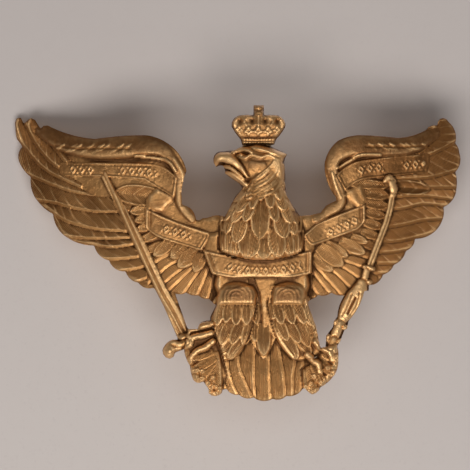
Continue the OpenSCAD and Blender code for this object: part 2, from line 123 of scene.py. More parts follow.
SCEPTRE_SHAFT = [
    (46, 17.6, 0.1), (44, 19.4, 0.4), (43.2, 16), (35.4, -9.6), (33.8, -19), (37, -19), (37.2, -10),
    (45.4, 13),
]
SCEPTRE_HEAD = [
    (33, -13), (30, -19, 0.2), (26.1, -28), (24.9, -29.5), (24.6, -31.4), (22.2, -34.6), (22, -38.2),
    (25.8, -38.4), (27, -36.6), (28.6, -32.4), (29.4, -32.2), (30, -29.4, 0.12), (35.2, -20), (37, -12.5),
]
CROWN = [
    (-7, 31.6), (4.2, 31.6), (4.8, 33.4, 0.08), (8.1, 38, 0.35), (5.6, 41.7, 0.1), (0.6, 41.8),
    (0.6, 45.3), (-3, 45.3), (-3, 41.8, 0.1), (-8.2, 41.7, 0.35), (-10.6, 38, 0.08), (-7.4, 33.4),
]
HEAD = [
    (-12, 4), (10, 4), (8.4, 14), (8, 18, 0.05), (7.6, 25.4, -0.1), (8.6, 28.2, 0.1), (-2, 32.4, 0.1),
    (-9.5, 29.7), (-15, 29.2, 0.3), (-16.9, 26.8, 0.2), (-15.9, 23.9, -0.2), (-13.5, 24.4),
    (-12.8, 22.6, 0.4), (-12.1, 21), (-8, 18.2), (-6.6, 16.2), (-9, 12),
]
BODY = [
    (-14.6, -18), (14.6, -18), (14.8, 0, 0.1), (12.4, 8), (8.4, 14), (8, 18), (-6.4, 17), (-9.4, 13.6),
    (-13, 6.4, 0.1),
]
LEFT_THIGH = [
    (-2, -16), (-15, -18, 0.1), (-16, -24), (-18.6, -31), (-20.4, -40, 0.2), (-15, -43, 0.2),
    (-10, -42.6, 0.1), (-4, -34), (-1.6, -24),
]
RIGHT_THIGH = [
    (2, -16), (1.6, -24), (4, -34, 0.1), (10, -42.6, 0.2), (15, -43, 0.2), (20.4, -40), (18.6, -31),
    (16, -24, 0.1), (15, -18),
]
BELLY = [(-4, -12), (-3.4, -24), (-3, -36), (0.6, -41.4), (3.4, -36), (3.4, -24), (4, -12)]
LAP = [(-17, -9), (-17.6, -17), (-15.6, -25), (15.6, -25), (17.6, -17), (17, -9)]
LEFT_KNEE = [
    (-2.2, -24), (-1.2, -21.2, 0.2), (-2.6, -17.7, 0.12), (-8, -15.7, 0.12), (-12.9, -16.7, 0.15),
    (-15.6, -20.5), (-15.6, -24),
]
RIGHT_KNEE = [
    (14.2, -24), (15, -20.8, 0.2), (13.9, -17.2, 0.12), (8.9, -15.7, 0.12), (4.2, -17, 0.15),
    (2.9, -20.5), (3.2, -24),
]
TAIL = [
    (-18, -28), (-18, -48), (-14, -53.2), (-12.3, -53, 0.3), (-8, -55, 0.3), (-3, -55.9, 0.3),
    (3.6, -56.4, 0.3), (8.4, -55.4, 0.3), (14, -53, 0.1), (17, -50), (18, -40), (18.2, -30), (15, -22),
    (-15, -22),
]
LEFT_CLAW = [
    (-25.6, -32.2), (-27, -40, 0.1), (-25, -45, 0.1), (-23.8, -50, 0.4), (-20.4, -50.4), (-18.5, -53, 0.5),
    (-17.4, -55.3, 0.3), (-14, -54.4), (-12, -48), (-14, -40), (-17, -31), (-18, -29.4, 0.3),
    (-21.6, -30.4, 0.2), (-22.2, -32.2),
]
RIGHT_CLAW = [
    (26, -37.8, 0.1), (22, -38.4), (20.6, -38.6), (18.8, -42), (13, -46), (14, -52), (16.2, -54.2, 0.5),
    (18.6, -54.4, 0.2), (20.2, -52.4, 0.1), (24.4, -49, 0.2), (26.4, -43, 0.1),
]

# Boundaries between neighbouring feathers of a fan. Feather i lies to the right of curve i
# and to the left of curve i + 1.
LEFT_FLIGHT = [
    [(-75, 41), (-72, 33), (-68, 28)],
    [(-77.3, 37.4), (-74, 32), (-70, 27)],
    [(-83.3, 39.2), (-79.5, 32), (-74, 25.5), (-68, 21.5)],
    [(-83.8, 31.3), (-79, 25.6), (-74, 21.6), (-66, 17.8)],
    [(-80.8, 20.6), (-76, 18.5), (-72, 17), (-66, 15), (-60, 14), (-53.5, 13.6)],
    [(-78.2, 12), (-72, 11), (-66, 9.4), (-58, 8), (-49, 7.9)],
    [(-72.9, 7.7), (-70, 5.6), (-66, 4), (-58, 2), (-47, 1.1)],
    [(-67.8, -0.6), (-62, -1.2), (-54, -1.4), (-46, -1)],
    [(-58.4, -3.3), (-54, -4.3), (-50, -4.2), (-44.5, -3.3)],
    [(-53.2, -8.5), (-48, -8.3), (-42, -7.6)],
    [(-47.4, -12.3), (-44, -11.8), (-40, -10.8)],
    [(-43, -16.2), (-40, -15), (-37, -13.6)],
    [(-38, -20), (-36, -18.5), (-34, -17)],
]
LEFT_INNER = [
    [(-40, -8), (-36, -5.4), (-31, -3)],
    [(-38.5, -11), (-35, -8.4), (-30, -6)],
    [(-36, -14), (-32, -10.6), (-27, -8)],
    [(-33.6, -16.6), (-30, -13.6), (-25, -10)],
    [(-31.4, -18.6), (-28, -15.4), (-23, -10.6)],
    [(-26.4, -19.6), (-24, -16), (-20, -10.4)],
    [(-22, -20.8), (-20.4, -17), (-18, -11)],
    [(-18.4, -22), (-17.4, -18), (-15.6, -12)],
    [(-14, -24), (-13.6, -18), (-12, -12)],
]
RIGHT_FLIGHT = [
    [(50, 36), (56, 36.8), (60, 41)],
    [(50, 28.6), (56, 31), (59, 34.5), (61.2, 38.5)],
    [(50, 25), (56, 27), (62, 29.4), (67.4, 32.4)],
    [(46, 19.2), (52, 19.4), (59, 20), (67.4, 22.3)],
    [(45.5, 16), (52, 16), (60, 16.4), (67.8, 16.5)],
    [(45.3, 12.8), (51, 13.4), (57, 13.4), (65, 12.4)],
    [(45, 8.5), (50, 9.3), (56, 10.7), (63.2, 10.1)],
    [(43.5, 2.5), (50, 3.6), (56, 5), (62.8, 5.5)],
    [(41.8, -2.6), (46, -2.4), (50, -1.8), (53.2, -1)],
    [(40.8, -6.3), (46, -6), (50, -5.2)],
    [(38.5, -9.8), (42, -10), (45.8, -10)],
    [(36, -12.8), (39, -13.2), (42, -13.4)],
    [(32, -17), (36, -17.4), (39, -18)],
]
RIGHT_INNER = [
    [(29, -3), (34, -4.2), (40, -5.6)],
    [(28, -6), (33, -7), (38, -8.6)],
    [(28, -9), (32, -10.2), (37, -12.4)],
    [(25, -9.6), (30, -12.6), (36, -17)],
    [(21, -10.2), (26, -14), (31.5, -19.6)],
    [(18.4, -11), (22, -15), (27, -20.6)],
    [(16.6, -12), (19.4, -15.6), (23.4, -20.6)],
    [(14.6, -13), (16.6, -17), (19.2, -21)],
    [(12, -14), (13.6, -18), (15.4, -24)],
]
TAIL_FAN = [
    [(-19, -53), (-19, -46), (-17, -38)],
    [(-14.4, -53.4), (-16.6, -48), (-16.4, -40)],
    [(-12, -52.8), (-13.8, -48), (-14.5, -43), (-13.4, -38)],
    [(-8, -54.8), (-10.2, -50), (-11.5, -44), (-10.6, -38)],
    [(-3, -55.8), (-5.6, -50), (-7.6, -44), (-7.2, -36)],
    [(-1.9, -56.6), (-2.3, -50), (-2.3, -44), (-2, -36)],
    [(3.3, -56.6), (3, -50), (2.8, -44), (2.6, -36)],
    [(8.4, -55.4), (8.2, -50), (7.2, -44), (6.2, -38)],
    [(11.2, -54), (11.2, -48), (11.8, -43), (10, -38)],
    [(14, -53), (14.4, -48), (14.6, -43), (13.6, -38)],
    [(18, -52), (18, -46), (17, -38)],
]

# Single feathers: root, tip, half width. Rows go from the lowest layer to the top one.
LEFT_COVERTS = [
    ((-34, -2.5), (-40.4, -5.4), 1.7), ((-36, 1), (-42.4, -1.6), 1.7), ((-38, 4), (-43.6, 2.2), 1.7),
    ((-37.5, 7.2), (-44.2, 5.2), 1.8), ((-37.5, 10.2), (-45.8, 8.3), 1.9), ((-35.6, 13.4), (-51, 15.2), 3.7),
]
LEFT_SHOULDER = [
    ((-31, -1.5), (-37.6, -6.8), 2.3), ((-27, -3), (-31.6, -7.6), 2.4), ((-22.6, -4.5), (-29, -10.8), 2.7),
    ((-20.5, -6), (-23.4, -12.4), 2.3),
]
RIGHT_COVERTS = [
    ((34, -1.5), (40.4, -4.6), 1.7), ((34.5, 1.8), (41.2, -0.6), 1.8), ((35.5, 5), (42, 3), 1.9),
    ((36, 8.4), (43, 6.8), 1.9), ((36, 11.6), (43.8, 10.4), 2.0), ((33, 16.2), (44, 13.8), 2.4),
    ((31, 18.4), (44, 17.4), 1.9), ((44.6, 17.4), (58.4, 16.2), 2.7),
]
RIGHT_SHOULDER = [
    ((31, 0), (36.6, -2.2), 1.6), ((27, -1.4), (35.6, -6), 2.3), ((22, -2.4), (29.6, -7), 2.0),
    ((17.6, -6.6), (24.4, -12), 2.2), ((19.6, -3.6), (28, -10.2), 2.9),
]
CHEST = [
    [((-13.6, 3), (-13.4, -6), 1.5), ((13.4, 3), (13, -5.6), 1.4), ((-11, 3), (-11.4, -7), 1.9),
     ((10.8, 3), (11, -6.6), 1.9), ((-8.4, 1), (-9, -7.6), 2.1), ((9, 1), (8.8, -7.2), 2.1),
     ((0.8, -1), (0.2, -8.2), 3.0), ((-4, 1.5), (-4.2, -8), 4.0), ((4.4, 3), (4.8, -7.5), 3.3)],
    [((-13.2, 8), (-13.8, 1.6), 1.3), ((12.2, 8), (12.8, 1.2), 1.3), ((-11, 7.6), (-12, 0.8), 1.6),
     ((9.6, 8), (10.6, 0.4), 1.9), ((-6.6, 6.4), (-8.2, -2.4), 2.7), ((5.8, 8), (6.8, -0.8), 3.0),
     ((-0.5, 12), (-0.7, -0.9), 3.5)],
    [((-9.4, 11.5), (-12.9, 5.2), 1.5), ((-6, 11), (-9.4, 4.8), 1.9), ((9.4, 11), (11.4, 4.2), 1.6),
     ((7, 11.4), (9, 4.4), 1.9), ((-3, 12.6), (-5.4, 5.0), 2.0), ((3.2, 12), (4.1, 4.9), 2.0)],
    [((-6.6, 14), (-11.4, 8.8), 1.4), ((-4.6, 14.6), (-7.8, 8.2), 1.8), ((7.8, 15), (10.4, 8.8), 1.5),
     ((5, 15.6), (6.8, 8.8), 1.9), ((-2, 15.6), (-3.4, 9.4), 1.7), ((2.2, 15.6), (2.5, 9.6), 1.8)],
    [((-4, 18), (-8.8, 12), 1.4), ((-2, 19), (-4.6, 12.6), 1.6), ((6.6, 18.6), (8.8, 12.6), 1.4),
     ((4.2, 19), (5.4, 12.4), 1.6), ((0.6, 19), (-0.9, 12.4), 1.9)],
]
LEFT_LEG = [
    [((-9, -36), (-15.6, -41.4), 1.9), ((-6.6, -36), (-11.8, -42.6), 2.2)],
    [((-14.4, -30), (-17.2, -38), 1.7), ((-2.6, -29), (-2.6, -36.6), 1.5),
     ((-11.4, -30), (-14.4, -37.6), 2.1), ((-7.6, -30), (-10.6, -37.4), 2.2),
     ((-4.4, -30), (-6.4, -37.8), 2.0)],
    [((-14.2, -23.4), (-15.8, -31), 1.7), ((-2.4, -23.4), (-1.9, -30.6), 1.6),
     ((-11.8, -23.4), (-12.6, -30), 1.8), ((-8.8, -23.4), (-9.1, -30.9), 2.0),
     ((-5.4, -23.4), (-5.4, -30.7), 2.0)],
]
RIGHT_LEG = [
    [((12, -35), (17, -40.6), 1.9), ((7, -33), (12.2, -42.5), 2.3)],
    [((15.4, -27), (19.8, -39.4), 1.7), ((12.6, -30), (16.4, -38.4), 2.1), ((9, -29.6), (13, -37), 2.1),
     ((5.6, -29), (8.8, -36.2), 1.9)],
    [((14, -22), (17.2, -31), 1.7), ((3, -23.4), (3.6, -29), 1.4), ((12, -23.4), (14.8, -30.4), 1.9),
     ((8.6, -23.4), (10.8, -30.5), 2.0), ((4.8, -23.4), (6.9, -30.5), 2.0)],
]
BELLY_FEATHERS = [((0.4, -30), (0.6, -41.2), 2.6)]
# Locks of the neck: the topmost one and the lowest one, from the nape to the throat
LOCKS = ([(4.5, 27), (3, 24), (0, 21.5), (-4.2, 18.6)], [(7.8, 24), (6.7, 19.6), (3.8, 15.8), (-6, 11.8)])

# ---- Outline and distance helpers ---------------------------------------------------------


def expand(corners, step=0.35):
    """The closed outline of a list of corners, with its bulged sides turned into arcs."""
    points = []
    for i, corner in enumerate(corners):
        nxt = corners[(i + 1) % len(corners)]
        bulge = corner[2] if len(corner) > 2 else 0
        ax, az = corner[:2]
        bx, bz = nxt[:2]
        points.append((ax, az))
        if bulge:
            turn = 4 * math.atan(bulge)
            chord = math.hypot(bx - ax, bz - az)
            rise = 0.5 / math.tan(turn / 2)
            cx = (ax + bx) / 2 - (bz - az) * rise
            cz = (az + bz) / 2 + (bx - ax) * rise
            radius = math.hypot(ax - cx, az - cz)
            start = math.atan2(az - cz, ax - cx)
            count = max(2, int(radius * abs(turn) / (4 * step)), int(chord))
            for k in range(1, count):
                t = start + turn * k / count
                points.append((cx + radius * math.cos(t), cz + radius * math.sin(t)))
    return np.array(points)


def smooth(points, count=6):
    """An even curve through a few points."""
    p = np.array(points, float)
    p = np.vstack([2 * p[0] - p[1], p, 2 * p[-1] - p[-2]])
    out = []
    for i in range(1, len(p) - 2):
        for t in np.arange(count) / count:
            out.append(
                0.5 * (2 * p[i] + (p[i + 1] - p[i - 1]) * t
                       + (2 * p[i - 1] - 5 * p[i] + 4 * p[i + 1] - p[i + 2]) * t**2
                       + (3 * p[i] - p[i - 1] - 3 * p[i + 1] + p[i + 2]) * t**3)
            )
    out.append(p[-2])
    return np.array(out)


def prolong(points, by=10.0):
    """The same curve with straight ends added."""
    a = points[0] + by * (points[0] - points[1]) / np.hypot(*(points[0] - points[1]))
    b = points[-1] + by * (points[-1] - points[-2]) / np.hypot(*(points[-1] - points[-2]))
    return np.vstack([a, points, b])


def nearest(points, x, z):
    """Distance to a polyline, +1 on its left or -1 on its right, and the length along it."""
    best = np.full(x.shape, 1e9)
    side = np.ones(x.shape)
    along = np.zeros(x.shape)
    run = 0.0
    for (ax, az), (bx, bz) in zip(points[:-1], points[1:]):
        dx, dz = bx - ax, bz - az
        length = math.hypot(dx, dz)
        if length < 1e-6:
            continue
        t = np.clip(((x - ax) * dx + (z - az) * dz) / length**2, 0, 1)
        d = (x - ax - t * dx) ** 2 + (z - az - t * dz) ** 2
        closer = d < best
        best = np.where(closer, d, best)
        side = np.where(closer, np.where(dx * (z - az) > dz * (x - ax), 1.0, -1.0), side)
        along = np.where(closer, run + t * length, along)
        run += length
    return np.sqrt(best), side, along


def inside(points, x, z):
    """True within a closed outline."""
    odd = np.zeros(x.shape, bool)
    for (ax, az), (bx, bz) in zip(points, np.roll(points, -1, axis=0)):
        if az != bz:
            crosses = (az > z) != (bz > z)
            odd ^= crosses & (x < (bx - ax) * (z - az) / (bz - az) + ax)
    return odd


def depth_in(corners, x, z):
    """Distance to an outline, positive within it and negative outside."""
    points = expand(corners)
    away = nearest(np.vstack([points, points[:1]]), x, z)[0]
    return np.where(inside(points, x, z), away, -away)


def ramp(value, low, high):
    """0 below low, 1 above high, and an even rise between."""
    t = np.clip((value - low) / (high - low), 0, 1)
    return t * t * (3 - 2 * t)


def grain(x, z, size, seed):
    """Even random noise between -1 and 1, with lumps of the given size."""
    lattice = np.random.default_rng(seed).uniform(-1, 1, (400, 600))
    gx, gz = (x - GRID_X[0]) / size + 2, (z - GRID_Z[0]) / size + 2
    ix, iz = np.floor(gx).astype(int) % 598, np.floor(gz).astype(int) % 398
    tx, tz = ramp(gx % 1, 0, 1), ramp(gz % 1, 0, 1)
    low = lattice[iz, ix] * (1 - tx) + lattice[iz, ix + 1] * tx
    high = lattice[iz + 1, ix] * (1 - tx) + lattice[iz + 1, ix + 1] * tx
    return low * (1 - tz) + high * tz


def blurred(field, size):
    """The field smoothed over the given number of cells."""
    reach = int(3 * size)
    kernel = np.exp(-0.5 * (np.arange(-reach, reach + 1) / size) ** 2)
    kernel /= kernel.sum()
    padded = np.pad(field, reach, mode="edge")
    rows = sum(w * padded[i:i + field.shape[0], :] for i, w in enumerate(kernel))
    return sum(w * rows[:, i:i + field.shape[1]] for i, w in enumerate(kernel))


# ---- The relief: a height above the flat sheet for every cell of a grid --------------------

X, Z = np.meshgrid(np.arange(*GRID_X, FACE_CELL), np.arange(*GRID_Z, FACE_CELL))
FINE = 0.5 + 0.5 * grain(X, Z, 2.2, 11)
height = np.zeros(X.shape)
base = np.zeros(X.shape)
# Fine strands of each feather: how far along their repeat, in turns, and how deep
strand_turns = np.zeros(X.shape)
strand_depth = np.zeros(X.shape)
# How much darker each cell is painted. On the knees this is old stain; over the wing rolls it is painted
# shade.
stain_and_shade = np.zeros(X.shape)


def window(points, margin):
    """The part of the grid round some points."""
    p = np.array([q[:2] for q in points])
    x0 = max(0, int((p[:, 0].min() - margin - GRID_X[0]) / FACE_CELL))
    x1 = int((p[:, 0].max() + margin - GRID_X[0]) / FACE_CELL) + 2
    z0 = max(0, int((p[:, 1].min() - margin - GRID_Z[0]) / FACE_CELL))
    z1 = int((p[:, 1].max() + margin - GRID_Z[0]) / FACE_CELL) + 2
    return slice(z0, z1), slice(x0, x1)


def area(corners, margin=1):
    """The part of the grid round an outline, its x and z there, and the depth within the outline."""
    part = window(corners, margin)
    x, z = X[part], Z[part]
    return part, x, z, depth_in(corners, x, z)


def put(part, mask, value, as_base=False, turns=0.0, depth=0.0, dark=0.0):
    """Lay a height on the masked cells, with its strands and how much darker it is painted, and as the new
    base if asked.
    """
    height[part] = np.where(mask, value, height[part])
    strand_turns[part] = np.where(mask, turns, strand_turns[part])
    strand_depth[part] = np.where(mask, depth, strand_depth[part])
    stain_and_shade[part] = np.where(mask, dark, stain_and_shade[part])
    if as_base:
        base[part] = np.where(mask, value, base[part])


def strokes(along, across, pitch, slant, shift=0.0):
    """Separate raised strokes that slant away from the feather's shaft."""
    turns = (along * math.sin(slant) + across * math.cos(slant)) / pitch + shift
    return np.maximum(0, np.sin(2 * math.pi * turns)) ** 5 - 0.2


def barbs(along, across, pitch, slant):
    """Fine ridges that slant away from the feather's shaft."""
    phase = 2 * math.pi * (along * math.sin(slant) + across * math.cos(slant)) / pitch
    return np.sin(phase) + 0.3 * np.sin(2.3 * phase + 1)


def feather(root, tip, half_width, rise=0.5, dome=0.3, rim=0.1, pitch=1.0, slant=0.5, barb=0.07, dark=0.0):
    """A rounded feather laid on the base, lifted most at its tip."""
    (ax, az), (bx, bz) = root, tip
    length = math.hypot(bx - ax, bz - az)
    ux, uz = (bx - ax) / length, (bz - az) / length
    part = window([root, tip], half_width + 1)
    x, z = X[part] - ax, Z[part] - az
    share = (x * ux + z * uz) / length
    t = np.clip(share, 0, 1)
    across = z * ux - x * uz
    cap = min(0.6, 1.15 * half_width / length)
    width = half_width * (0.72 + 0.28 * np.sin(math.pi * np.minimum(t * 1.1, 1)))
    width = width * np.sqrt(np.maximum(0, 1 - np.clip((t - 1 + cap) / cap, 0, 1) ** 2.2)) + 1e-6
    u = np.abs(across) / width
    mask = (share > 0) & (share < 1) & (u < 1)
    ridges = strokes if pitch > 1.5 else barbs
    lines = barb * ridges(t * length, np.abs(across), pitch, slant) * (0.35 + 0.9 * FINE[part])
    from_side = (1 - u) * width
    edge = rim * np.exp(-(((from_side - 0.45) / 0.34) ** 2)) - 0.2 * ramp(0.3 - from_side, 0, 0.3)
    shaft = 0.13 * np.exp(-((across / 0.2) ** 2)) * ramp(0.94 - t, 0, 0.1)
    form = 0.08 + rise * t**0.8 + dome * (1 - u**2)
    turns = (t * length * math.sin(slant) + np.abs(across) * math.cos(slant)) / STRAND_PITCH
    put(part, mask, base[part] + form + edge + shaft + lines * ramp(0.98 - u, 0, 0.2), turns=turns,
        depth=ramp(from_side, 0.3, 0.7), dark=dark * ramp(from_side, 0.5, 1.0))


def fan(curves, lift, mask_of, pitch=3.0, slant=0.72, barb=0.5, quill=0.15):
    """Long feathers side by side, each one's edge lying over the next."""
    lines = [prolong(smooth(c)) for c in curves]
    for upper, lower in zip(lines[:-1], lines[1:]):
        part = window(np.vstack([upper[1:-1], lower[1:-1]]), 3)
        x, z = X[part], Z[part]
        d0, side0, along = nearest(upper, x, z)
        d1, side1, _ = nearest(lower, x, z)
        v = d0 / (d0 + d1 + 1e-6)
        shape = lift * (0.15 + 0.85 * ramp(v, 0, 0.9)) + 0.14 * np.sin(math.pi * v)
        edge = -0.6 * lift * np.exp(-((d1 / 0.2) ** 2)) - 0.16 * np.exp(-((d0 / 0.3) ** 2))
        shaft = quill * np.exp(-(((d1 - 1.0) / 0.2) ** 2)) - 0.16 * np.exp(-(((d1 - 0.55) / 0.2) ** 2))
        uneven = grain(x, z, 7, 51)
        ridges = barb * strokes(along, d1, pitch, slant, 0.5 * uneven) * ramp(d1, 0.9, 1.5)
        ridges = ridges * (0.3 + 0.9 * FINE[part]) * (0.75 + 0.5 * uneven)
        turns = (along * math.sin(slant) + d1 * math.cos(slant)) / STRAND_PITCH
        mask = (side0 < 0) & (side1 > 0) & mask_of(x, z)
        put(part, mask, base[part] + shape + edge + shaft + ridges, turns=turns, depth=ramp(d1, 0.9, 1.3))


def tube(points, widths, lifts, as_base=False, over=0.0, flat=0.5, lean=0.0, dark=0.0):
    """A raised round moulding along a curve, with its half width and height given at each point.

    A positive lean moves its crest towards the left side of the curve."""
    line = smooth(points)
    part = window(points, max(widths) + 1)
    d, side, along = nearest(line, X[part], Z[part])
    run = np.concatenate([[0], np.cumsum(np.hypot(*np.diff(line, axis=0).T))])
    at = np.interp(run, np.linspace(0, run[-1], len(widths)), widths)
    up = np.interp(run, np.linspace(0, run[-1], len(lifts)), lifts)
    v = np.sign(side) * d / (np.interp(along, run, at) + 1e-6)
    u = np.abs(v - lean) / (1 + np.where(v < lean, lean, -lean))
    value = base[part] + over + np.interp(along, run, up) * np.maximum(0, 1 - u**2) ** flat
    put(part, (np.abs(v) < 1) & (value > height[part] - 2), value, as_base, dark=dark)


def carve(points, width, depth):
    """A groove along a curve."""
    part = window(points, width * 3)
    d = nearest(smooth(points), X[part], Z[part])[0]
    height[part] -= depth * np.exp(-((d / width) ** 2))


def boss(x0, z0, rx, rz, lift, turn=0.0):
    """A small raised oval."""
    part = window([(x0, z0)], max(rx, rz) + 0.5)
    c, s = math.cos(turn), math.sin(turn)
    dx, dz = X[part] - x0, Z[part] - z0
    r = ((dx * c + dz * s) / rx) ** 2 + ((dz * c - dx * s) / rz) ** 2
    height[part] += lift * np.sqrt(np.maximum(0, 1 - r))


# ---- Wings -----------------------------------------------------------------------------


def lay_wing_base():
    shoulder = np.exp(-(((np.abs(X) - 30) / 20) ** 2)) * ramp(Z, -26, -4)
    collar = np.exp(-(((np.abs(X) - 14) / 5.5) ** 2)) * ramp(Z, -14, -6) * ramp(-Z, -10, -5)
    base[:] = 1.1 * shoulder + 2.2 * collar + 0.25 * grain(X, Z, 14, 3) * ramp(np.abs(X), 24, 40)
    height[:] = base


def lay_flight_feathers():
    fan(LEFT_FLIGHT, 0.36, lambda x, z: x < -33)
    fan(RIGHT_FLIGHT, 0.36, lambda x, z: x > 32)
    fan(LEFT_INNER, 0.3, lambda x, z: (x > -40) & (x < -11) & (z < -3), 1.2, 0.16, 0.26, 0.02)
    fan(RIGHT_INNER, 0.3, lambda x, z: (x < 40) & (x > 11) & (z < -3), 1.2, 0.16, 0.26, 0.02)


def lay_coverts():
    for root, tip, w in LEFT_COVERTS + RIGHT_COVERTS:
        if w > 2.5:
            feather(root, tip, w, rise=0.3, dome=-0.15, rim=0.4, pitch=2.6, slant=0.7, barb=0.4)
            continue
        feather(root, tip, w, rise=0.5, dome=0.2, rim=0.16, pitch=2.2, slant=0.6, barb=0.22)
    for root, tip, w in LEFT_SHOULDER + RIGHT_SHOULDER:
        feather(root, tip, w, rise=0.7, dome=0.3, rim=0.16, pitch=1.6, slant=0.3, barb=0.18)


# Middle line of the roll along the top of each wing, from the body outwards
LEFT_ROLL = [
    (-24.2, 6), (-26.6, 8.8), (-28.2, 12), (-28.4, 16.4), (-28.8, 22), (-34.4, 29.6), (-44.5, 31.3),
    (-58, 30.8), (-69, 32.6), (-77, 36.6),
]
RIGHT_ROLL = [
    (19, 6), (23, 8.6), (26.6, 11.2), (26.8, 15), (24.2, 24), (27.4, 29.6), (34.6, 31.7), (47, 31),
    (54, 32.6), (60, 35.6),
]


def lay_leading_edges():
    # Both rolls are painted darker as a whole (dark=0.6): painted shade
    tube(LEFT_ROLL, [1.5, 1.9, 2.0, 2.1, 3.2, 4.6, 4.4, 3.8, 3.3, 2.2],
         [0.9, 1.1, 1.2, 1.5, 1.8, 1.9, 1.7, 1.4, 1.1, 0.5], as_base=True, lean=0.5, flat=0.75, dark=0.6)
    tube(RIGHT_ROLL, [1.6, 2.2, 2.2, 2.1, 3.2, 4.5, 4.2, 3.6, 3.2, 2.2],
         [0.9, 1.2, 1.2, 1.5, 1.8, 1.9, 1.7, 1.4, 1.1, 0.5], as_base=True, lean=-0.5, flat=0.75, dark=0.6)
    # Slanting strokes of the short feathers on each roll
    for i in range(EDGE_STROKES):
        length, up = 0.8 + 0.35 * (i % 3), 0.12 + 0.1 * (i % 2)
        x0 = -45.5 - 3.3 * i + 0.9 * math.sin(i * 2.3)
        tube([(x0, 31.9), (x0 - 2, 30.6), (x0 - 4 * length, 29)], [0.3, 0.6, 0.25], [up, up + 0.08, 0.05])
        x0 = 37 + 2.6 * i + 0.8 * math.sin(i * 1.9)
        tube([(x0, 32.2), (x0 + 1.8, 31), (x0 + 3.4 * length, 29.8)], [0.3, 0.6, 0.25], [up, up + 0.08, 0.05])
    carve([(-72, 31.4), (-64, 30.4), (-56, 30.5), (-46, 30.3)], 0.35, 0.35)
    carve([(58, 31.4), (50, 30.9), (42, 31), (36, 31)], 0.35, 0.35)
    # Narrow bands that follow the inside of each wrist
    tube([(-27.6, 15.6), (-27.2, 21), (-30.6, 27)], [0.5, 0.6, 0.4], [0.4, 0.5, 0.2])
    tube([(-44, 27.6), (-36.4, 27), (-32.2, 25.4), (-29.9, 22.4)],
         [0.45, 0.6, 0.5], [0.5, 0.6, 0.4], over=0.9)
    tube([(26.4, 23.6), (30.6, 26.2), (35, 28), (41, 28)], [0.5, 0.7, 0.5], [0.5, 0.6, 0.3], over=0.5)
    tube([(24.2, 22), (25.2, 18), (27.2, 13.4)], [0.5, 0.6, 0.5], [0.4, 0.5, 0.4])


# ---- Ribbon ----------------------------------------------------------------------------

RIBBON_LINES = {
    "left_top": [(-68, 23.3), (-56, 22.9), (-44, 22.6), (-38, 21.8), (-33.4, 19)],
    "left_low": [(-38, 4.4), (-34, 2.8), (-28, 0.9), (-22, -1.4)],
    "middle": [(-16, -9.6), (-8, -11.4), (0, -12), (8, -11.4), (16, -9.6)],
    "right_low": [(19, -0.6), (25, 2), (30, 4.2), (34.4, 7)],
    "right_top": [(31, 21.8), (36, 23.3), (46, 24.2), (56, 25.2)],
}
# The stretches with ornament, as lengths along each line
ORNAMENT = {
    "left_top": [(0.5, 9.5), (18, 31.5)],
    "left_low": [(3.6, 14)],
    "middle": [(3.5, 30)],
    "right_low": [(3.6, 16)],
    "right_top": [(2, 11.5), (18, 26)],
}
# The free ends, and the way inwards from each
RIBBON_ENDS = [
    ([(-20, -5), (-18.6, -9), (-17, -12.6)], 1), ([(16.7, -5.4), (16.7, -9), (16.5, -12.4)], -1),
    ([(-39.9, 9.2), (-40, 3.2)], 1), ([(35.3, 10.4), (35.3, 5.6)], -1),
]


def lozenges(name, x, z):
    """A row of small lozenges with a pearl between each two, along the ribbon's middle."""
    line = smooth(RIBBON_LINES[name])
    away, _, along = nearest(line, x, z)
    value = np.zeros(x.shape)
    for start, end in ORNAMENT[name]:
        within = (along > start) & (along < end)
        u = np.abs((along - start) % LOZENGE_STEP - LOZENGE_STEP / 2)
        outer = ramp(1 - (u / 1.2 + away / 1.9), 0, 0.26)
        inner = ramp(1 - (u / 0.66 + away / 1.05), 0, 0.26)
        lozenge = outer - 0.9 * inner
        v = LOZENGE_STEP / 2 - u
        pearl = np.sqrt(np.maximum(0, 1 - (v**2 + (away - 1.1) ** 2) / 0.16))
        value = np.where(within, 0.5 * lozenge + 0.4 * pearl, value)
    return value


def lay_ribbon():
    for corners in FOLDS.values():
        part, x, z, d = area(corners)
        shade = 0.5 + 0.3 * ramp(d, 0, 1.2) + 0.06 * np.sin(x * 1.6 + z)
        put(part, d > 0, base[part] + shade)
    for name, corners in RIBBON.items():
        part, x, z, d = area(corners)
        under = blurred(base[part], 5)
        if name == "middle":
            under = BELLY_LIFT * np.sqrt(np.maximum(0.02, 1 - (x / 22) ** 2)) - 0.4
        border = 0.22 * np.exp(-(((d - 0.5) / 0.22) ** 2)) - 0.16 * np.exp(-(((d - 1.05) / 0.22) ** 2))
        wave = 0.16 * np.sin(x * 0.5 + z * 0.2)
        pits = -0.12 * np.maximum(0, grain(x, z, 0.9, 21) - 0.45) * 2
        rise = RIBBON_RISE[name]
        # The two outer ends sink into the wings
        firm = 1 - 0.75 * (ramp(-x, 60, 72) + ramp(x, 49, 60))
        edge = 0.4 * firm * ramp(0.35 - d, 0, 0.35)
        value = under + firm * (rise + border) + wave + lozenges(name, x, z) + pits - edge
        put(part, d > 0, value, dark=0.3)
    # Each free end curls up into a small roll
    for line, inward in RIBBON_ENDS:
        carve(line, 0.55, -0.45)
        carve([(x + 1.1 * inward, z) for x, z in line], 0.3, 0.35)


# ---- Sword and sceptre -----------------------------------------------------------------


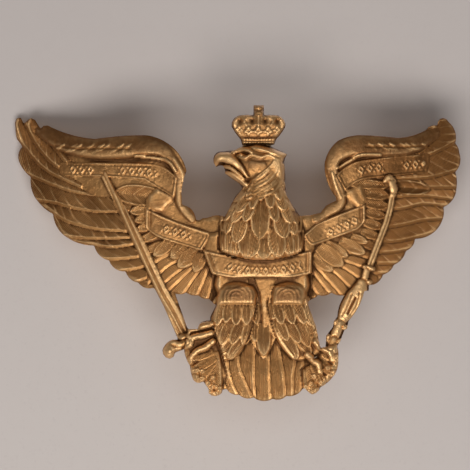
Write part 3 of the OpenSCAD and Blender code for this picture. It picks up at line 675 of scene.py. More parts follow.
def lay_sword():
    level = 1.0
    part, x, z, d = area(SWORD_BLADE)
    # Distance across the blade from its middle ridge
    middle = smooth([(-54.6, 22.2), (-44.8, 0), (-36.4, -18), (-31.6, -26.4), (-27.6, -34)])
    side_away = nearest(middle, x, z)[0]
    ridges = 0.34 * np.exp(-((side_away / 0.3) ** 2)) + 0.3 * np.exp(-(((side_away - 1.55) / 0.3) ** 2))
    hollow = -0.4 * np.exp(-(((side_away - 0.85) / 0.35) ** 2))
    put(part, (d > 0) & (side_away < 2.9), base[part] + level + ridges + hollow - 0.5 * ramp(0.4 - d, 0, 0.4))
    # Grip, guard and pommel
    part, _, _, d = area(SWORD_HILT)
    put(part, d > 0, base[part] + 1.7 + 0.7 * ramp(d, 0, 1.4))
    part, _, _, d = area(QUILLON)
    put(part, d > 0, base[part] + 0.9 + 1.0 * ramp(d, 0, 1.2))
    boss(-32.1, -39.8, 2.0, 2.0, 0.7)
    boss(-32.1, -39.8, 0.9, 0.9, 0.6)
    carve([(-29.2, -35.4), (-27.4, -38.8)], 0.3, 0.6)
    tube([(-31, -36.9), (-28.6, -37.6), (-26.4, -36.6)], [1.0, 1.2, 1.3], [0.8, 1.0, 1.2], over=1.0)


def lay_sceptre():
    tube([(45.2, 14.6), (44.4, 9.6), (42.9, 4.4), (41.2, 0), (38.9, -6), (36.9, -11.4)],
         [1.1, 1.15, 1.2, 1.25], [0.7, 0.8], over=0.6, flat=0.4)
    carve([(45.4, 14), (44.6, 9.4), (43.2, 4.4), (41.5, 0), (39.2, -6), (37.2, -11)], 0.22, 0.35)
    tube([(42.8, 19.2), (44, 20.1), (45.6, 19)], [0.9, 1.4, 1.0], [0.9, 1.1, 0.6], over=1.0)
    tube([(44.8, 18.6), (45.6, 16.6), (45.5, 14.6)], [1.2, 1.5, 1.2], [0.9, 1.2, 0.8], over=1.0)
    carve([(44, 15.2), (46.6, 14.6)], 0.22, 0.5)
    tube([(35.4, -10.6), (38.4, -11.4)], [0.8, 0.8], [1.2, 1.2], over=0.9)
    tube([(34.2, -15.6), (37.2, -16)], [0.9, 0.9], [1.0, 1.0], over=0.8)
    tube([(36.2, -12), (35.6, -14.4)], [1.2, 1.2], [0.9, 0.9], over=0.8)
    tube([(34.6, -16.6), (32.6, -21.4), (29.6, -26), (27.6, -29.2)],
         [2.0, 3.8, 3.3, 1.7], [1.4, 2.0, 1.8, 1.2], over=0.5)
    carve([(32.4, -21.4), (30.6, -24.8), (29.8, -26.8)], 0.3, 1.1)
    carve([(33.8, -19.6), (32.8, -24), (30.6, -27.4)], 0.24, 0.5)
    carve([(31, -20), (29.6, -24), (27.6, -27.6)], 0.24, 0.45)
    tube([(25.4, -29.8), (29.2, -32)], [1.0, 1.0], [1.0, 1.0], over=1.3)
    tube([(27, -30.4), (24.8, -35.4)], [1.6, 1.6], [1.4, 1.4], over=0.8)
    tube([(22.8, -34.8), (26.8, -36.6)], [1.0, 1.0], [1.1, 1.1], over=1.3)
    tube([(24.8, -36), (23.8, -38.4)], [1.7, 1.5], [1.1, 1.0], over=0.9)


# ---- Tail, legs and feet ----------------------------------------------------------------


def lay_tail():
    part, x, z, d = area(TAIL)
    swell = 1.5 + 0.7 * np.sqrt(np.maximum(0, 1 - (x / 19) ** 2))
    put(part, d > -1.5, swell * ramp(z, -62, -46), as_base=True)
    fan(TAIL_FAN, 0.26, lambda x, z: (np.abs(x) < 19) & (z < -36), 1.3, 0.04, 0.36, 0.05)
    for x0, x1 in ((-1.1, -0.6), (0.5, 0.6), (2.0, 1.8), (-5, -3.8), (5.2, 6), (-9.4, -7.4), (9.2, 9.8)):
        carve([(x0, -43), ((x0 + x1) / 2, -49), (x1, -55)], 0.22, 0.2)


def lay_belly():
    part, _, _, d = area(LAP)
    put(part, d > 0, np.maximum(height[part], 3.3 * ramp(d, 0, 2.6)), as_base=True)
    part, x, _, d = area(BELLY)
    put(part, d > -1, 2.2 + 0.8 * np.sqrt(np.maximum(0, 1 - (x / 17) ** 2)), as_base=True)


def lay_legs():
    for side, shape, rows in ((-1, LEFT_THIGH, LEFT_LEG), (1, RIGHT_THIGH, RIGHT_LEG)):
        part, x, z, d = area(shape)
        from_bone = x - side * (9.2 + 0.12 * (-27 - z))
        dome = np.sqrt(np.maximum(0.28, 1 - (from_bone / 8.6) ** 2 - ((z + 27) / 18) ** 2))
        form = (1.6 + 2.6 * dome) * ramp(d, -1.6, 1.0)
        put(part, d > 0, np.maximum(base[part] * ramp(z, -26, -20), form), as_base=True)
        for row in rows:
            for root, tip, w in row:
                feather(root, tip, w, rise=0.6, dome=0.0, rim=0.26, pitch=0.8, slant=0.1, barb=0.11, dark=0.4)
    for root, tip, w in BELLY_FEATHERS:
        feather(root, tip, w, rise=0.7, dome=0.2, rim=0.2, pitch=0.8, slant=0.08, dark=0.35)
    # The smooth breastbone between the legs
    tube([(1.2, -14), (1.2, -19), (1.0, -25), (1.0, -31)],
         [4.2, 2.0, 1.2, 0.8], [0.5, 0.5, 0.4, 0.3], over=0.35)
    tube([(1.8, -28), (4, -33), (7.4, -38), (10.8, -42.4)],
         [0.8, 1.0, 0.9, 0.6], [0.2, 0.2, 0.2, 0.1], over=0.5)
    # The round knee of each leg, with curved rows of down
    for shape, cx, cz in ((LEFT_KNEE, -9, -20.8), (RIGHT_KNEE, 8.9, -20.8)):
        part, x, z, d = area(shape)
        r = np.hypot((x - cx) * 0.85, np.maximum(0, z - cz))
        rows = 0.07 * np.sin(2 * math.pi * r / 1.1) * ramp(r, 0.2, 1.0) * ramp(d, 0.5, 1.2)
        form = 1.25 * np.sqrt(ramp(d, 0, 1.7))
        put(part, d > 0, base[part] + form + rows, dark=0.95 * ramp(d, 0.6, 2.0))


def lay_foot(side, toes, leaves, curls, corners):
    part, x, z, d = area(corners)
    ripple = 0.1 * grain(x, z, 1.5, 31 + side)
    put(part, d > 0, 1.5 + 0.5 * ramp(d, 0, 1.5) + ripple, as_base=True)
    for (x0, z0), (x1, z1), w in leaves:
        feather((x0, z0), (x1, z1), w, rise=0.6, dome=0.3, rim=0.24, pitch=1.7, slant=0.7, barb=0.08)
    for x0, z0, r in curls:
        boss(x0, z0, r, r, 1.0)
        boss(x0, z0, r * 0.45, r * 0.45, -0.5)
    for line, w in toes:
        tube(line, [w * 0.85, w, w * 0.9, w * 0.55], [1.1, 1.3, 1.2, 0.5], over=0.9)
        for point in smooth(line, 2)[1:-1]:
            boss(point[0], point[1], w * 0.9, w * 0.5, 0.2)


LEFT_CURLS = [
    (-25.2, -43.4, 1.2), (-24.6, -46, 1.2), (-22.6, -46.6, 1.0), (-23, -48.8, 1.2),
    (-20.8, -49.6, 1.2), (-20.8, -46.8, 0.9), (-18.8, -51, 1.1), (-18.9, -53.8, 1.2),
    (-16.6, -52.2, 1.0), (-16.2, -54.6, 1.2), (-14.6, -52.8, 1.1), (-17, -49, 1.0),
]
LEFT_LEAVES = [
    ((-16, -40), (-15, -55), 1.6), ((-17, -42), (-18.6, -55), 1.7), ((-17, -44), (-23.4, -51), 1.9),
    ((-16, -42), (-24.6, -47), 1.8), ((-17, -40), (-25.6, -42.6), 1.8),
]
LEFT_TOES = [
    ([(-18, -30.6), (-21.6, -31.4), (-25.2, -32.4), (-26.6, -35)], 1.3),
    ([(-17.4, -33.4), (-20.6, -34.4), (-24.4, -35.4), (-26.2, -38.4)], 1.3),
    ([(-17, -36.4), (-19.8, -38.6), (-22.6, -39.8), (-24.8, -42.2)], 1.3),
]
RIGHT_CURLS = [
    (25.6, -42.4, 1.2), (25.2, -45, 1.2), (24.4, -47.4, 1.2), (22.6, -45.6, 1.0),
    (22.2, -49.2, 1.2), (20.4, -47, 0.9), (20.2, -50.8, 1.1), (18.8, -53.4, 1.2),
    (16.9, -51, 1.0), (16.8, -54.2, 1.1), (15, -52, 1.0), (18, -48.6, 1.0),
]
RIGHT_LEAVES = [
    ((15, -46), (15.6, -54.4), 1.4), ((16, -45), (18.2, -55), 1.7), ((17, -43), (21.4, -52), 1.8),
    ((19, -42), (25, -48.6), 1.9), ((20, -39.6), (26.4, -43.4), 1.8),
]
RIGHT_TOES = [
    ([(19.2, -33), (21.4, -34.8), (24.4, -37), (25.2, -40)], 1.2),
    ([(18.4, -36.6), (20.8, -38.6), (23.2, -39.8), (24.4, -43)], 1.3),
    ([(15.6, -41), (17.6, -43), (19.4, -44.4), (19.8, -47)], 1.3),
]


# ---- Body, head and crown ---------------------------------------------------------------


def lay_body():
    part = window([(-16, -10), (13.5, 26)], 1)
    x, z = X[part], Z[part]
    centre = np.interp(z, [-10, 8, 18, 26], [0, -0.6, 0.6, 0.8])
    half = np.interp(z, [-10, -2, 4, 8, 12, 16, 20, 26], [15.2, 15.4, 14.4, 12.6, 10.2, 7.9, 7.4, 7.4])
    top = np.interp(z, [-10, -4, 2, 8, 14, 20, 26], [7.9, 8.5, CHEST_LIFT, 8.2, 7.2, 6.4, HEAD_LIFT])
    low_edge = -8.4 + 3.4 * (x / 14.6) ** 2
    round_form = np.sqrt(np.maximum(0, 1 - ((x - centre) / half) ** 2))
    mask = (np.abs(x - centre) < half) & (z > low_edge) & (z < 25)
    lip = 1 - 0.12 * np.exp(-((z - low_edge) / 0.7) ** 2)
    put(part, mask, np.maximum(top * round_form * lip, base[part]), as_base=True)


def lay_body_feathers():
    for row in CHEST:
        for root, tip, w in row:
            outward = CHEST_SPREAD * root[0] * max(0, 1 - abs(root[0]) / 13)
            feather(root, (tip[0] + outward, tip[1]), w, rise=0.95, dome=-0.05, rim=0.4, pitch=0.8,
                    slant=0.1, barb=0.15, dark=0.1)


def lay_skull():
    part, x, z, d = area(HEAD)
    r = np.sqrt(((x - 0.4) / 8.8) ** 2 + ((z - 25) / 7.6) ** 2)
    skull = 3.2 + 3.0 * np.sqrt(np.maximum(0, 1 - r**2))
    beak = 2.6 + 1.6 * ramp(x, -16, -6)
    form = np.maximum(np.where(r < 1, skull, 0), np.where(x < -4, beak, 0)) * ramp(d, -0.7, 1.6)
    put(part, (d > 0) & (z > 15) & (x < 9), np.maximum(form, base[part]), as_base=True)


def lay_head():
    # The thick hooked upper beak runs down to the corner of the mouth, over two lips and the jaw
    tube([(-12.7, 22.1), (-10.4, 21.1), (-8.2, 19.5), (-5.8, 17.8)],
         [0.6, 1.2, 1.3, 0.9], [0.6, 1.0, 1.0, 0.5], over=0.7)
    tube([(-14, 24.1), (-11.2, 23.7), (-8.8, 21.9), (-6.4, 19.7)],
         [0.5, 0.8, 0.75, 0.4], [0.7, 1.0, 1.0, 0.5], over=1.3)
    tube([(-16.3, 24.6), (-15.6, 26.6), (-13.2, 27.3), (-10.2, 25.9), (-7.6, 23.3), (-5.3, 20.4)],
         [0.6, 1.6, 2.0, 1.7, 1.1, 0.5], [0.7, 1.6, 1.9, 1.7, 1.1, 0.4], over=0.3)
    carve([(-13.6, 23), (-10.8, 22.5), (-8.4, 20.8), (-6, 18.8)], 0.26, 0.9)
    carve([(-13.4, 25), (-10.6, 24.4), (-8.2, 22.4), (-6.2, 20.2)], 0.22, 0.7)
    carve([(-11.4, 28.2), (-8.8, 26.8), (-6.4, 24), (-4.6, 20.8)], 0.3, 0.6)
    # Brow, eye and the lines behind it
    tube([(-10.2, 29), (-7.6, 30.3), (-5.2, 29.9), (-3.6, 28.8)],
         [0.5, 0.8, 0.7, 0.4], [0.6, 1.0, 0.9, 0.4], over=0.5)
    carve([(-9, 28.5), (-7, 28.9), (-4.8, 28.3)], 0.5, 0.9)
    boss(-7.4, 28.1, 0.65, 0.6, 0.8)
    boss(-9.6, 28.9, 0.5, 0.5, 0.5)
    tube([(-7.8, 27.2), (-6, 26.9), (-4.4, 27.9)], [0.4, 0.5, 0.4], [0.5, 0.7, 0.5], over=0.3)
    carve([(-4.6, 26.8), (-1, 26), (2.4, 26.4)], 0.5, 0.25)
    boss(-1.6, 24.6, 3.4, 2.6, 0.5, -0.5)
    tube([(-3.6, 28.2), (0, 27.3), (2, 28), (5.4, 26.6), (6.6, 26)],
         [0.4, 0.5, 0.5, 0.4], [0.5, 0.6, 0.6, 0.3], over=0.15)
    tube([(-1.6, 30.4), (1.6, 29.4), (4.6, 28.6), (8.2, 28.4)],
         [0.5, 0.6, 0.8, 0.5], [0.5, 0.6, 0.8, 0.5], over=0.15)
    carve([(-4, 30.4), (-1.4, 29.2), (2, 28.7)], 0.35, 0.45)
    # The smooth dark cheek, and the locks that sweep from the nape to the throat
    part = window([(-2.2, 25.4)], 5)
    cheek = np.sqrt(np.maximum(0, 1 - np.hypot((X[part] + 2.2) / 4.8, (Z[part] - 25.4) / 3.2)))
    stain_and_shade[part] = np.maximum(stain_and_shade[part], 0.85 * cheek)
    first, last = (np.array(curve) for curve in LOCKS)
    for i, share in enumerate(np.linspace(0, 1, LOCK_COUNT)):
        line = first + (last - first) * share
        line[1:3, 1] += 0.5 * math.sin(i * 2.1)
        line[-1] += (line[-2] - line[-1]) * (0.25 if i % 2 else 0)
        tube([tuple(point) for point in line],
             [0.3, 0.62, 0.66, 0.2], [0.3, 0.5 - 0.2 * (i % 2), 0.5, 0.15], over=0.2)


def lay_crown():
    part, x, z, d = area(CROWN)
    half = np.interp(z, [31.6, 33.6, 36, 38.8, 40.6, 41.6, 46], [5.6, 6.3, 8.2, 9.3, 8.6, 7.4, 1.9])
    u = np.clip((x + 1.2) / half, -1, 1)
    fullness = np.interp(z, [31.6, 34, 38.5, 41.6, 42.2, 46], [0.8, 0.7, 1, 0.7, 0.5, 0.4])
    form = 1.0 + (CROWN_LIFT - 1.4) * np.sqrt(1 - u**2) * fullness
    put(part, d > 0, form * ramp(d, -0.5, 0.7), as_base=True, dark=0.38 + 0.4 * ramp(z, 41, 43))
    # Head band with two rows of pearls
    for z0 in (32.35, 33.5):
        for i in range(11):
            boss(-6.4 + i * 1.03, z0, 0.42, 0.42, 0.5)
    carve([(-7, 32.95), (-1.2, 32.8), (4.6, 32.95)], 0.2, 0.3)
    carve([(-7.4, 34.2), (-1.2, 34), (4.9, 34.2)], 0.25, 0.6)
    # Leaves that stand on the band
    for i, x0 in enumerate((-8.1, -4.8, -1.4, 2.1, 5.3)):
        z0 = 35.9 + (0.5 if i in (0, 4) else 0)
        wide = 0.8 if i in (0, 4) else 1.0
        boss(x0, z0 + 1.35, 0.85 * wide, 0.85, 0.75)
        boss(x0 - 1.0 * wide, z0 + 0.2, 0.75 * wide, 0.7, 0.65)
        boss(x0 + 1.0 * wide, z0 + 0.2, 0.75 * wide, 0.7, 0.65)
        boss(x0, z0 - 0.5, 0.6 * wide, 0.9, 0.5)
    # Arches of pearls
    arches = (
        [(-9.3, 37), (-9.9, 39), (-8.6, 40.9)], [(-5.6, 38.4), (-6.2, 39.9), (-4.9, 41.2)],
        [(-1.3, 38.4), (-1.3, 40), (-1.25, 41.6)], [(3.2, 38.4), (3.8, 39.9), (2.5, 41.2)],
        [(6.9, 37), (7.5, 39), (6.1, 40.9)],
    )
    for arch in arches:
        for px, pz in smooth(arch, 3):
            boss(px, pz, 0.5, 0.42, 0.6)
    for x0 in (-7.7, -3.5, 1, 5.3):
        part = window([(x0, 39.6)], 2)
        hollow = np.exp(-(((X[part] - x0) / 0.7) ** 2) - ((Z[part] - 39.9) / 1.3) ** 2)
        height[part] -= 0.8 * hollow
        stain_and_shade[part] = np.maximum(stain_and_shade[part], hollow)
    # Orb and cross
    boss(-1.2, 42.6, 1.6, 1.1, 1.2)
    carve([(-2.9, 43.4), (0.5, 43.4)], 0.2, 0.4)
    boss(-1.2, 44.4, 1.5, 0.75, 0.8)
    carve([(-1.9, 44.9), (-1.9, 43.8)], 0.16, 0.3)
    carve([(-0.5, 44.9), (-0.5, 43.8)], 0.16, 0.3)


# ---- Putting the relief together ----------------------------------------------------------

SILHOUETTE = [
    LEFT_WING, RIGHT_WING, SWORD_BLADE, SWORD_HILT, QUILLON, SCEPTRE_SHAFT, SCEPTRE_HEAD, CROWN, HEAD, BODY,
    LEFT_THIGH, RIGHT_THIGH, BELLY, TAIL, LEFT_CLAW, RIGHT_CLAW, *RIBBON.values(), *FOLDS.values(),
]


def silhouette_depth():
    """Distance within the badge's outline for every cell, negative outside."""
    depth = np.full(X.shape, -3.0)
    for corners in SILHOUETTE:
        part, _, _, d = area(corners, 2)
        depth[part] = np.maximum(depth[part], d)
    return depth


def build_relief():
    lay_wing_base()
    lay_flight_feathers()
    lay_coverts()
    lay_leading_edges()
    lay_tail()
    lay_belly()
    lay_legs()
    lay_foot(-1, LEFT_TOES, LEFT_LEAVES, LEFT_CURLS, LEFT_CLAW)
    lay_foot(1, RIGHT_TOES, RIGHT_LEAVES, RIGHT_CURLS, RIGHT_CLAW)
    lay_ribbon()
    lay_sword()
    lay_sceptre()
    lay_body()
    lay_skull()
    lay_body_feathers()
    lay_head()
    lay_crown()
    depth = silhouette_depth()
    rim = np.clip(depth / RIM_WIDE, 0, 1)
    height[:] -= RIM_DROP * (1 - np.sqrt(1 - (1 - rim) ** 2))
    height[:] += 0.035 * grain(X, Z, 0.8, 41) + 0.05 * grain(X, Z, 2.6, 42)
    height[:] = np.clip(0.2 * blurred(height, 0.8) + 0.8 * height, LOWEST, HIGHEST)
    return depth


edge_depth = build_relief()

# ---- Meshes from the relief ----------------------------------------------------------------

# The back is flat as far as this round each post, and then deepens over the next stretch
POST_CLEAR = 5.7
POST_BLEND = 2.5
WALL = 0.55


def sample(field, x, z):
    """The field's value between the grid's cells."""
    gx = np.clip((x - GRID_X[0]) / FACE_CELL, 0, X.shape[1] - 1.001)
    gz = np.clip((z - GRID_Z[0]) / FACE_CELL, 0, X.shape[0] - 1.001)
    ix, iz = gx.astype(int), gz.astype(int)
    tx, tz = gx - ix, gz - iz
    low = field[iz, ix] * (1 - tx) + field[iz, ix + 1] * tx
    high = field[iz + 1, ix] * (1 - tx) + field[iz + 1, ix + 1] * tx
    return low * (1 - tz) + high * tz


def bent(x, z, lift):
    """Points at a height above the back of the sheet, bent round the helmet, in metres."""
    y = AXIS_Y - np.sqrt((BEND_R + lift) ** 2 - x**2)
    return np.stack([x, y, z], axis=-1) * MM


def cut_out(depth, x, z):
    """Faces of the grid cells within depth > 0, cut exactly along the outline.

    Returns the points (x, z), the faces as lists of point numbers, and the outline's edges."""
    rows, cols = depth.shape
    inner = depth > 0
    number = -np.ones((3, rows, cols), int)
    points = []
    count = 0
    number[0][inner] = np.arange(inner.sum())
    points.append(np.stack([x[inner], z[inner]], axis=-1))
    count += int(inner.sum())
    for kind, (dz, dx) in ((1, (0, 1)), (2, (1, 0))):
        here = (slice(0, rows - dz), slice(0, cols - dx))
        there = (slice(dz, rows), slice(dx, cols))
        cross = inner[here] != inner[there]
        t = (depth[here] / (depth[here] - depth[there] + 1e-12))[cross]
        t = np.clip(t, 0.02, 0.98)
        px = x[here][cross] + t * (x[there] - x[here])[cross]
        pz = z[here][cross] + t * (z[there] - z[here])[cross]
        number[kind][here][cross] = count + np.arange(cross.sum())
        points.append(np.stack([px, pz], axis=-1))
        count += int(cross.sum())
    faces, edges = [], []
    full = inner[:-1, :-1] & inner[1:, :-1] & inner[:-1, 1:] & inner[1:, 1:]
    some = inner[:-1, :-1] | inner[1:, :-1] | inner[:-1, 1:] | inner[1:, 1:]
    i, j = np.nonzero(full)
    corner = number[0]
    quads = [corner[i, j], corner[i, j + 1], corner[i + 1, j + 1], corner[i + 1, j]]
    faces.extend(np.stack(quads, axis=-1).tolist())
    for i, j in zip(*np.nonzero(some & ~full)):
        around = ((i, j), (i, j + 1), (i + 1, j + 1), (i + 1, j))
        sides = ((1, i, j), (2, i, j + 1), (1, i + 1, j), (2, i, j))
        ring, leaving = [], None
        first_entry = None
        for k in range(4):
            if inner[around[k]]:
                ring.append(int(corner[around[k]]))
            if inner[around[k]] != inner[around[(k + 1) % 4]]:
                cut = int(number[sides[k]])
                ring.append(cut)
                if inner[around[k]]:
                    leaving = cut
                elif leaving is None:
                    first_entry = cut
                else:
                    edges.append((leaving, cut))
                    leaving = None
        if leaving is not None:
            edges.append((leaving, first_entry))
        faces.append(ring)
    return np.vstack(points), faces, edges


def mesh_object(name, points, faces, smooth_faces=True):
    mesh = bpy.data.meshes.new(name)
    mesh.from_pydata(points.tolist() if hasattr(points, "tolist") else points, [], faces)
    mesh.update()
    if smooth_faces:
        mesh.polygons.foreach_set("use_smooth", [True] * len(mesh.polygons))
    obj = bpy.data.objects.new(name, mesh)
    bpy.context.collection.objects.link(obj)
    return obj


def store(obj, name, values):
    attribute = obj.data.attributes.new(name, "FLOAT", "POINT")
    attribute.data.foreach_set("value", np.asarray(values, np.float32))


def back_lift(x, z, hollow):
    """Height of the sheet's back: hollow behind raised forms, flat round the posts."""
    lift = np.maximum(0, sample(hollow, x, z) - WALL)
    for side in (-1, 1):
        away = np.hypot(x - side * POST_X, z)
        lift = lift * ramp(away, POST_CLEAR, POST_CLEAR + POST_BLEND)
    front = SHEET_T + sample(height, x, z)
    return np.maximum(0, np.minimum(lift, front - WALL))


def build_plate():
    """The face with its rim, and the hollow back."""
    hollow = blurred(height, 4.0)
    wide = blurred(height, 3.0)
    lump = blurred(height, 9.0)
    points, faces, edges = cut_out(edge_depth, X, Z)
    px, pz = points[:, 0], points[:, 1]
    front = bent(px, pz, SHEET_T + sample(height, px, pz))
    # The rim joins the outline of the face to the same outline on the back
    rim = sorted({e for pair in edges for e in pair})
    place = {e: len(points) + i for i, e in enumerate(rim)}
    rx, rz = px[rim], pz[rim]
    behind = bent(rx, rz, back_lift(rx, rz, hollow))
    rim_faces = [[a, place[a], place[b], b] for a, b in edges]
    face = mesh_object("plate_face", np.vstack([front, behind]), faces + rim_faces)
    cavity = sample(height - wide, px, pz) + 0.15 * sample(wide - lump, px, pz)
    store(face, "cavity", np.concatenate([cavity, np.full(len(rim), -0.2)]))
    # Painted shade: the wing tips, which bend away from the light, and the top of each roll, which faces away
    # from it, are painted darker
    tips = ramp(-X, 60, 80) + ramp(X, 24, 46) + ramp(Z, 26, 34) * ramp(np.abs(X), 20, 30)
    fields = {"strand_turns": strand_turns, "strand_depth": strand_depth, "tips": tips, "stain_and_shade": stain_and_shade}
    for name, field in fields.items():
        store(face, name, np.concatenate([sample(field, px, pz), np.zeros(len(rim))]))
    store(face, "margin", np.concatenate([sample(edge_depth, px, pz), np.zeros(len(rim))]))

    bx, bz = np.meshgrid(np.arange(*GRID_X, BACK_CELL), np.arange(*GRID_Z, BACK_CELL))
    points, faces, _ = cut_out(sample(edge_depth, bx, bz), bx, bz)
    px, pz = points[:, 0], points[:, 1]
    back = mesh_object("plate_back", bent(px, pz, back_lift(px, pz, hollow)), [f[::-1] for f in faces])
    store(back, "cavity", -0.4 * (sample(hollow, px, pz) - sample(lump, px, pz)))
    store(back, "margin", sample(edge_depth, px, pz))
    return face, back


# ---- Posts, solder, washers and nuts ---------------------------------------------------------

POST_R = 1.5
THREAD_PITCH = 0.5
THREAD_ROOT_R = 1.22
SHANK_END = 3.0
POST_END = 13.0
POINT = 0.25
CHAMFER = 0.12
# Rings for each turn of the thread
POST_STEPS = 8
NUT_STEPS = 6
FOOT_Y = (-0.9, -0.3)
FOOT_R = 3.0
SOLDER_R = 4.55
BORE_R = 1.56
LEATHER = (3.1, 4.7, 5.5)
WASHER = (4.7, 5.3, 4.5)
NUT_Y = (5.38, 7.78)
NUT_WIDE = 7.5
AROUND = 64
SIDES = {-1: "left", 1: "right"}


def turned(name, x0, rings, closed=False):
    """A surface turned about the line x = x0 along y. rings are (y, radius or function of the angle)."""
    points, faces = [], []
    for y, radius in rings:
        for i in range(AROUND):
            t = 2 * math.pi * i / AROUND
            r, dy = radius(t) if callable(radius) else (radius, 0.0)
            points.append(((x0 + r * math.cos(t)) * MM, (y + dy) * MM, r * math.sin(t) * MM))
    count = len(rings)
    for k in range(count if closed else count - 1):
        for i in range(AROUND):
            a, b = k * AROUND, ((k + 1) % count) * AROUND
            j = (i + 1) % AROUND
            faces.append([a + i, b + i, b + j, a + j])
    if not closed:
        faces.append(list(range(AROUND)))
        faces.append([(count - 1) * AROUND + i for i in reversed(range(AROUND))])
    return mesh_object(name, points, faces)


def thread_radius(y, t, crest, root):
    """Radius of a right-handed thread at the length y and the angle t."""
    turn = (y / THREAD_PITCH + t / (2 * math.pi)) % 1.0
    return root + (crest - root) * (1 - abs(2 * turn - 1))


def build_post(side):
    x0 = side * POST_X
    y0, y1 = FOOT_Y
    rings = [
        (y0, 0.05), (y0, FOOT_R - CHAMFER), (y0 + CHAMFER, FOOT_R), (y1 - CHAMFER, FOOT_R),
        (y1, FOOT_R - CHAMFER), (y1, POST_R + 0.1), (y1 + CHAMFER, POST_R), (SHANK_END, POST_R),
    ]
    steps = int((POST_END - POINT - SHANK_END) / (THREAD_PITCH / POST_STEPS))
    for i in range(1, steps):
        y = SHANK_END + i * THREAD_PITCH / POST_STEPS
        fade = min(1.0, i / POST_STEPS)
        rings.append((y, lambda t, y=y, fade=fade: (
            POST_R - fade * (POST_R - thread_radius(y, t, POST_R, THREAD_ROOT_R)), 0.0)))
    rings += [(POST_END - POINT, 1.25), (POST_END, 1.0), (POST_END, 0.03)]
    return turned(SIDES[side] + "_post_turned", x0, rings)


def build_solder(side):
    """A fillet of solder round the foot, uneven at its rim, that meets the back of the sheet."""
    x0 = side * POST_X
    rng = np.random.default_rng(60 + side)
    waves = [(k, rng.uniform(0, 6.28), rng.uniform(0.03, 0.12)) for k in (2, 3, 5, 7)]

    def lobes(t):
        return sum(a * math.sin(k * t + p) for k, p, a in waves)

    def sheet_y(x):
        return AXIS_Y - math.sqrt(BEND_R**2 - x**2)

    def ring(radius, y, share):
        # share 1 lies on the sheet, 0 lies at the foot
        def place(t):
            r = min(radius + lobes(t) * share, SOLDER_R)
            at = sheet_y(x0 + r * math.cos(t)) + 0.01
            return r, (1 - share) * y + share * at
        return (0.0, place)

    # Radius, length and share of each ring
    profile = [
        (0.05, -0.92, 0), (FOOT_R - 0.2, -0.92, 0), (FOOT_R + 0.02, -0.92, 0), (FOOT_R + 0.04, -0.62, 0),
        (FOOT_R + 0.2, -0.64, 0.05), (3.5, -0.86, 0.2), (3.85, -1.14, 0.45), (4.15, -1.3, 0.8),
        (4.32, -1.4, 1.0), (0.05, -1.4, 1.0),
    ]
    rings = [ring(*values) for values in profile]
    return turned(SIDES[side] + "_solder_fillet", x0, rings)


def build_ring(name, side, y0, y1, radius, rounding, lumps, seed):
    """A washer with rounded rims and a slightly uneven outline."""
    x0 = side * POST_X
    rng = np.random.default_rng(seed)
    waves = [(k, rng.uniform(0, 6.28), lumps * rng.uniform(0.3, 1) / k) for k in (2, 3, 4, 6, 9)]

    def rim(r):
        return lambda t: (r + min(0.0, sum(a * math.sin(k * t + p) for k, p, a in waves) - lumps), 0.0)

    c = rounding
    rings = [
        (y0, BORE_R + 0.05), (y0, rim(radius - c)), (y0 + 0.3 * c, rim(radius - 0.3 * c)),
        (y0 + c, rim(radius)), (y1 - c, rim(radius)), (y1 - 0.3 * c, rim(radius - 0.3 * c)),
        (y1, rim(radius - c)), (y1, BORE_R + 0.05), (y1 - 0.05, BORE_R), (y0 + 0.05, BORE_R),
    ]
    return turned(name, x0, rings, closed=True)


def square_radius(t, half, corner):
    """Distance from the middle to the side of a square with its corners cut round."""
    return min(half / max(abs(math.cos(t)), abs(math.sin(t))), corner)


def build_nut(side):
    x0 = side * POST_X
    half = NUT_WIDE / 2
    y0, y1 = NUT_Y

    def body(inset, corner):
        return lambda t: (square_radius(t, half - inset, corner), 0.0)

    rings = [
        (y0 + 0.2, BORE_R), (y0, BORE_R + 0.25), (y0, body(CHAMFER, half * 1.34)),
        (y0 + CHAMFER, body(0, half * 1.37)), (y1 - 0.5, body(0, half * 1.32)),
        (y1 - CHAMFER, body(0, half * 1.2)), (y1, body(CHAMFER, half * 1.13)), (y1, BORE_R + 0.3),
    ]
    steps = int((y1 - y0 - 0.4) / (THREAD_PITCH / NUT_STEPS))
    for i in range(steps + 1):
        y = y1 - 0.2 - i * THREAD_PITCH / NUT_STEPS
        rings.append((y, lambda t, y=y: (thread_radius(y, t, BORE_R, BORE_R + 0.16), 0.0)))
    return turned(SIDES[side] + "_nut_square", x0, rings, closed=True)


# ---- Materials -------------------------------------------------------------------------------


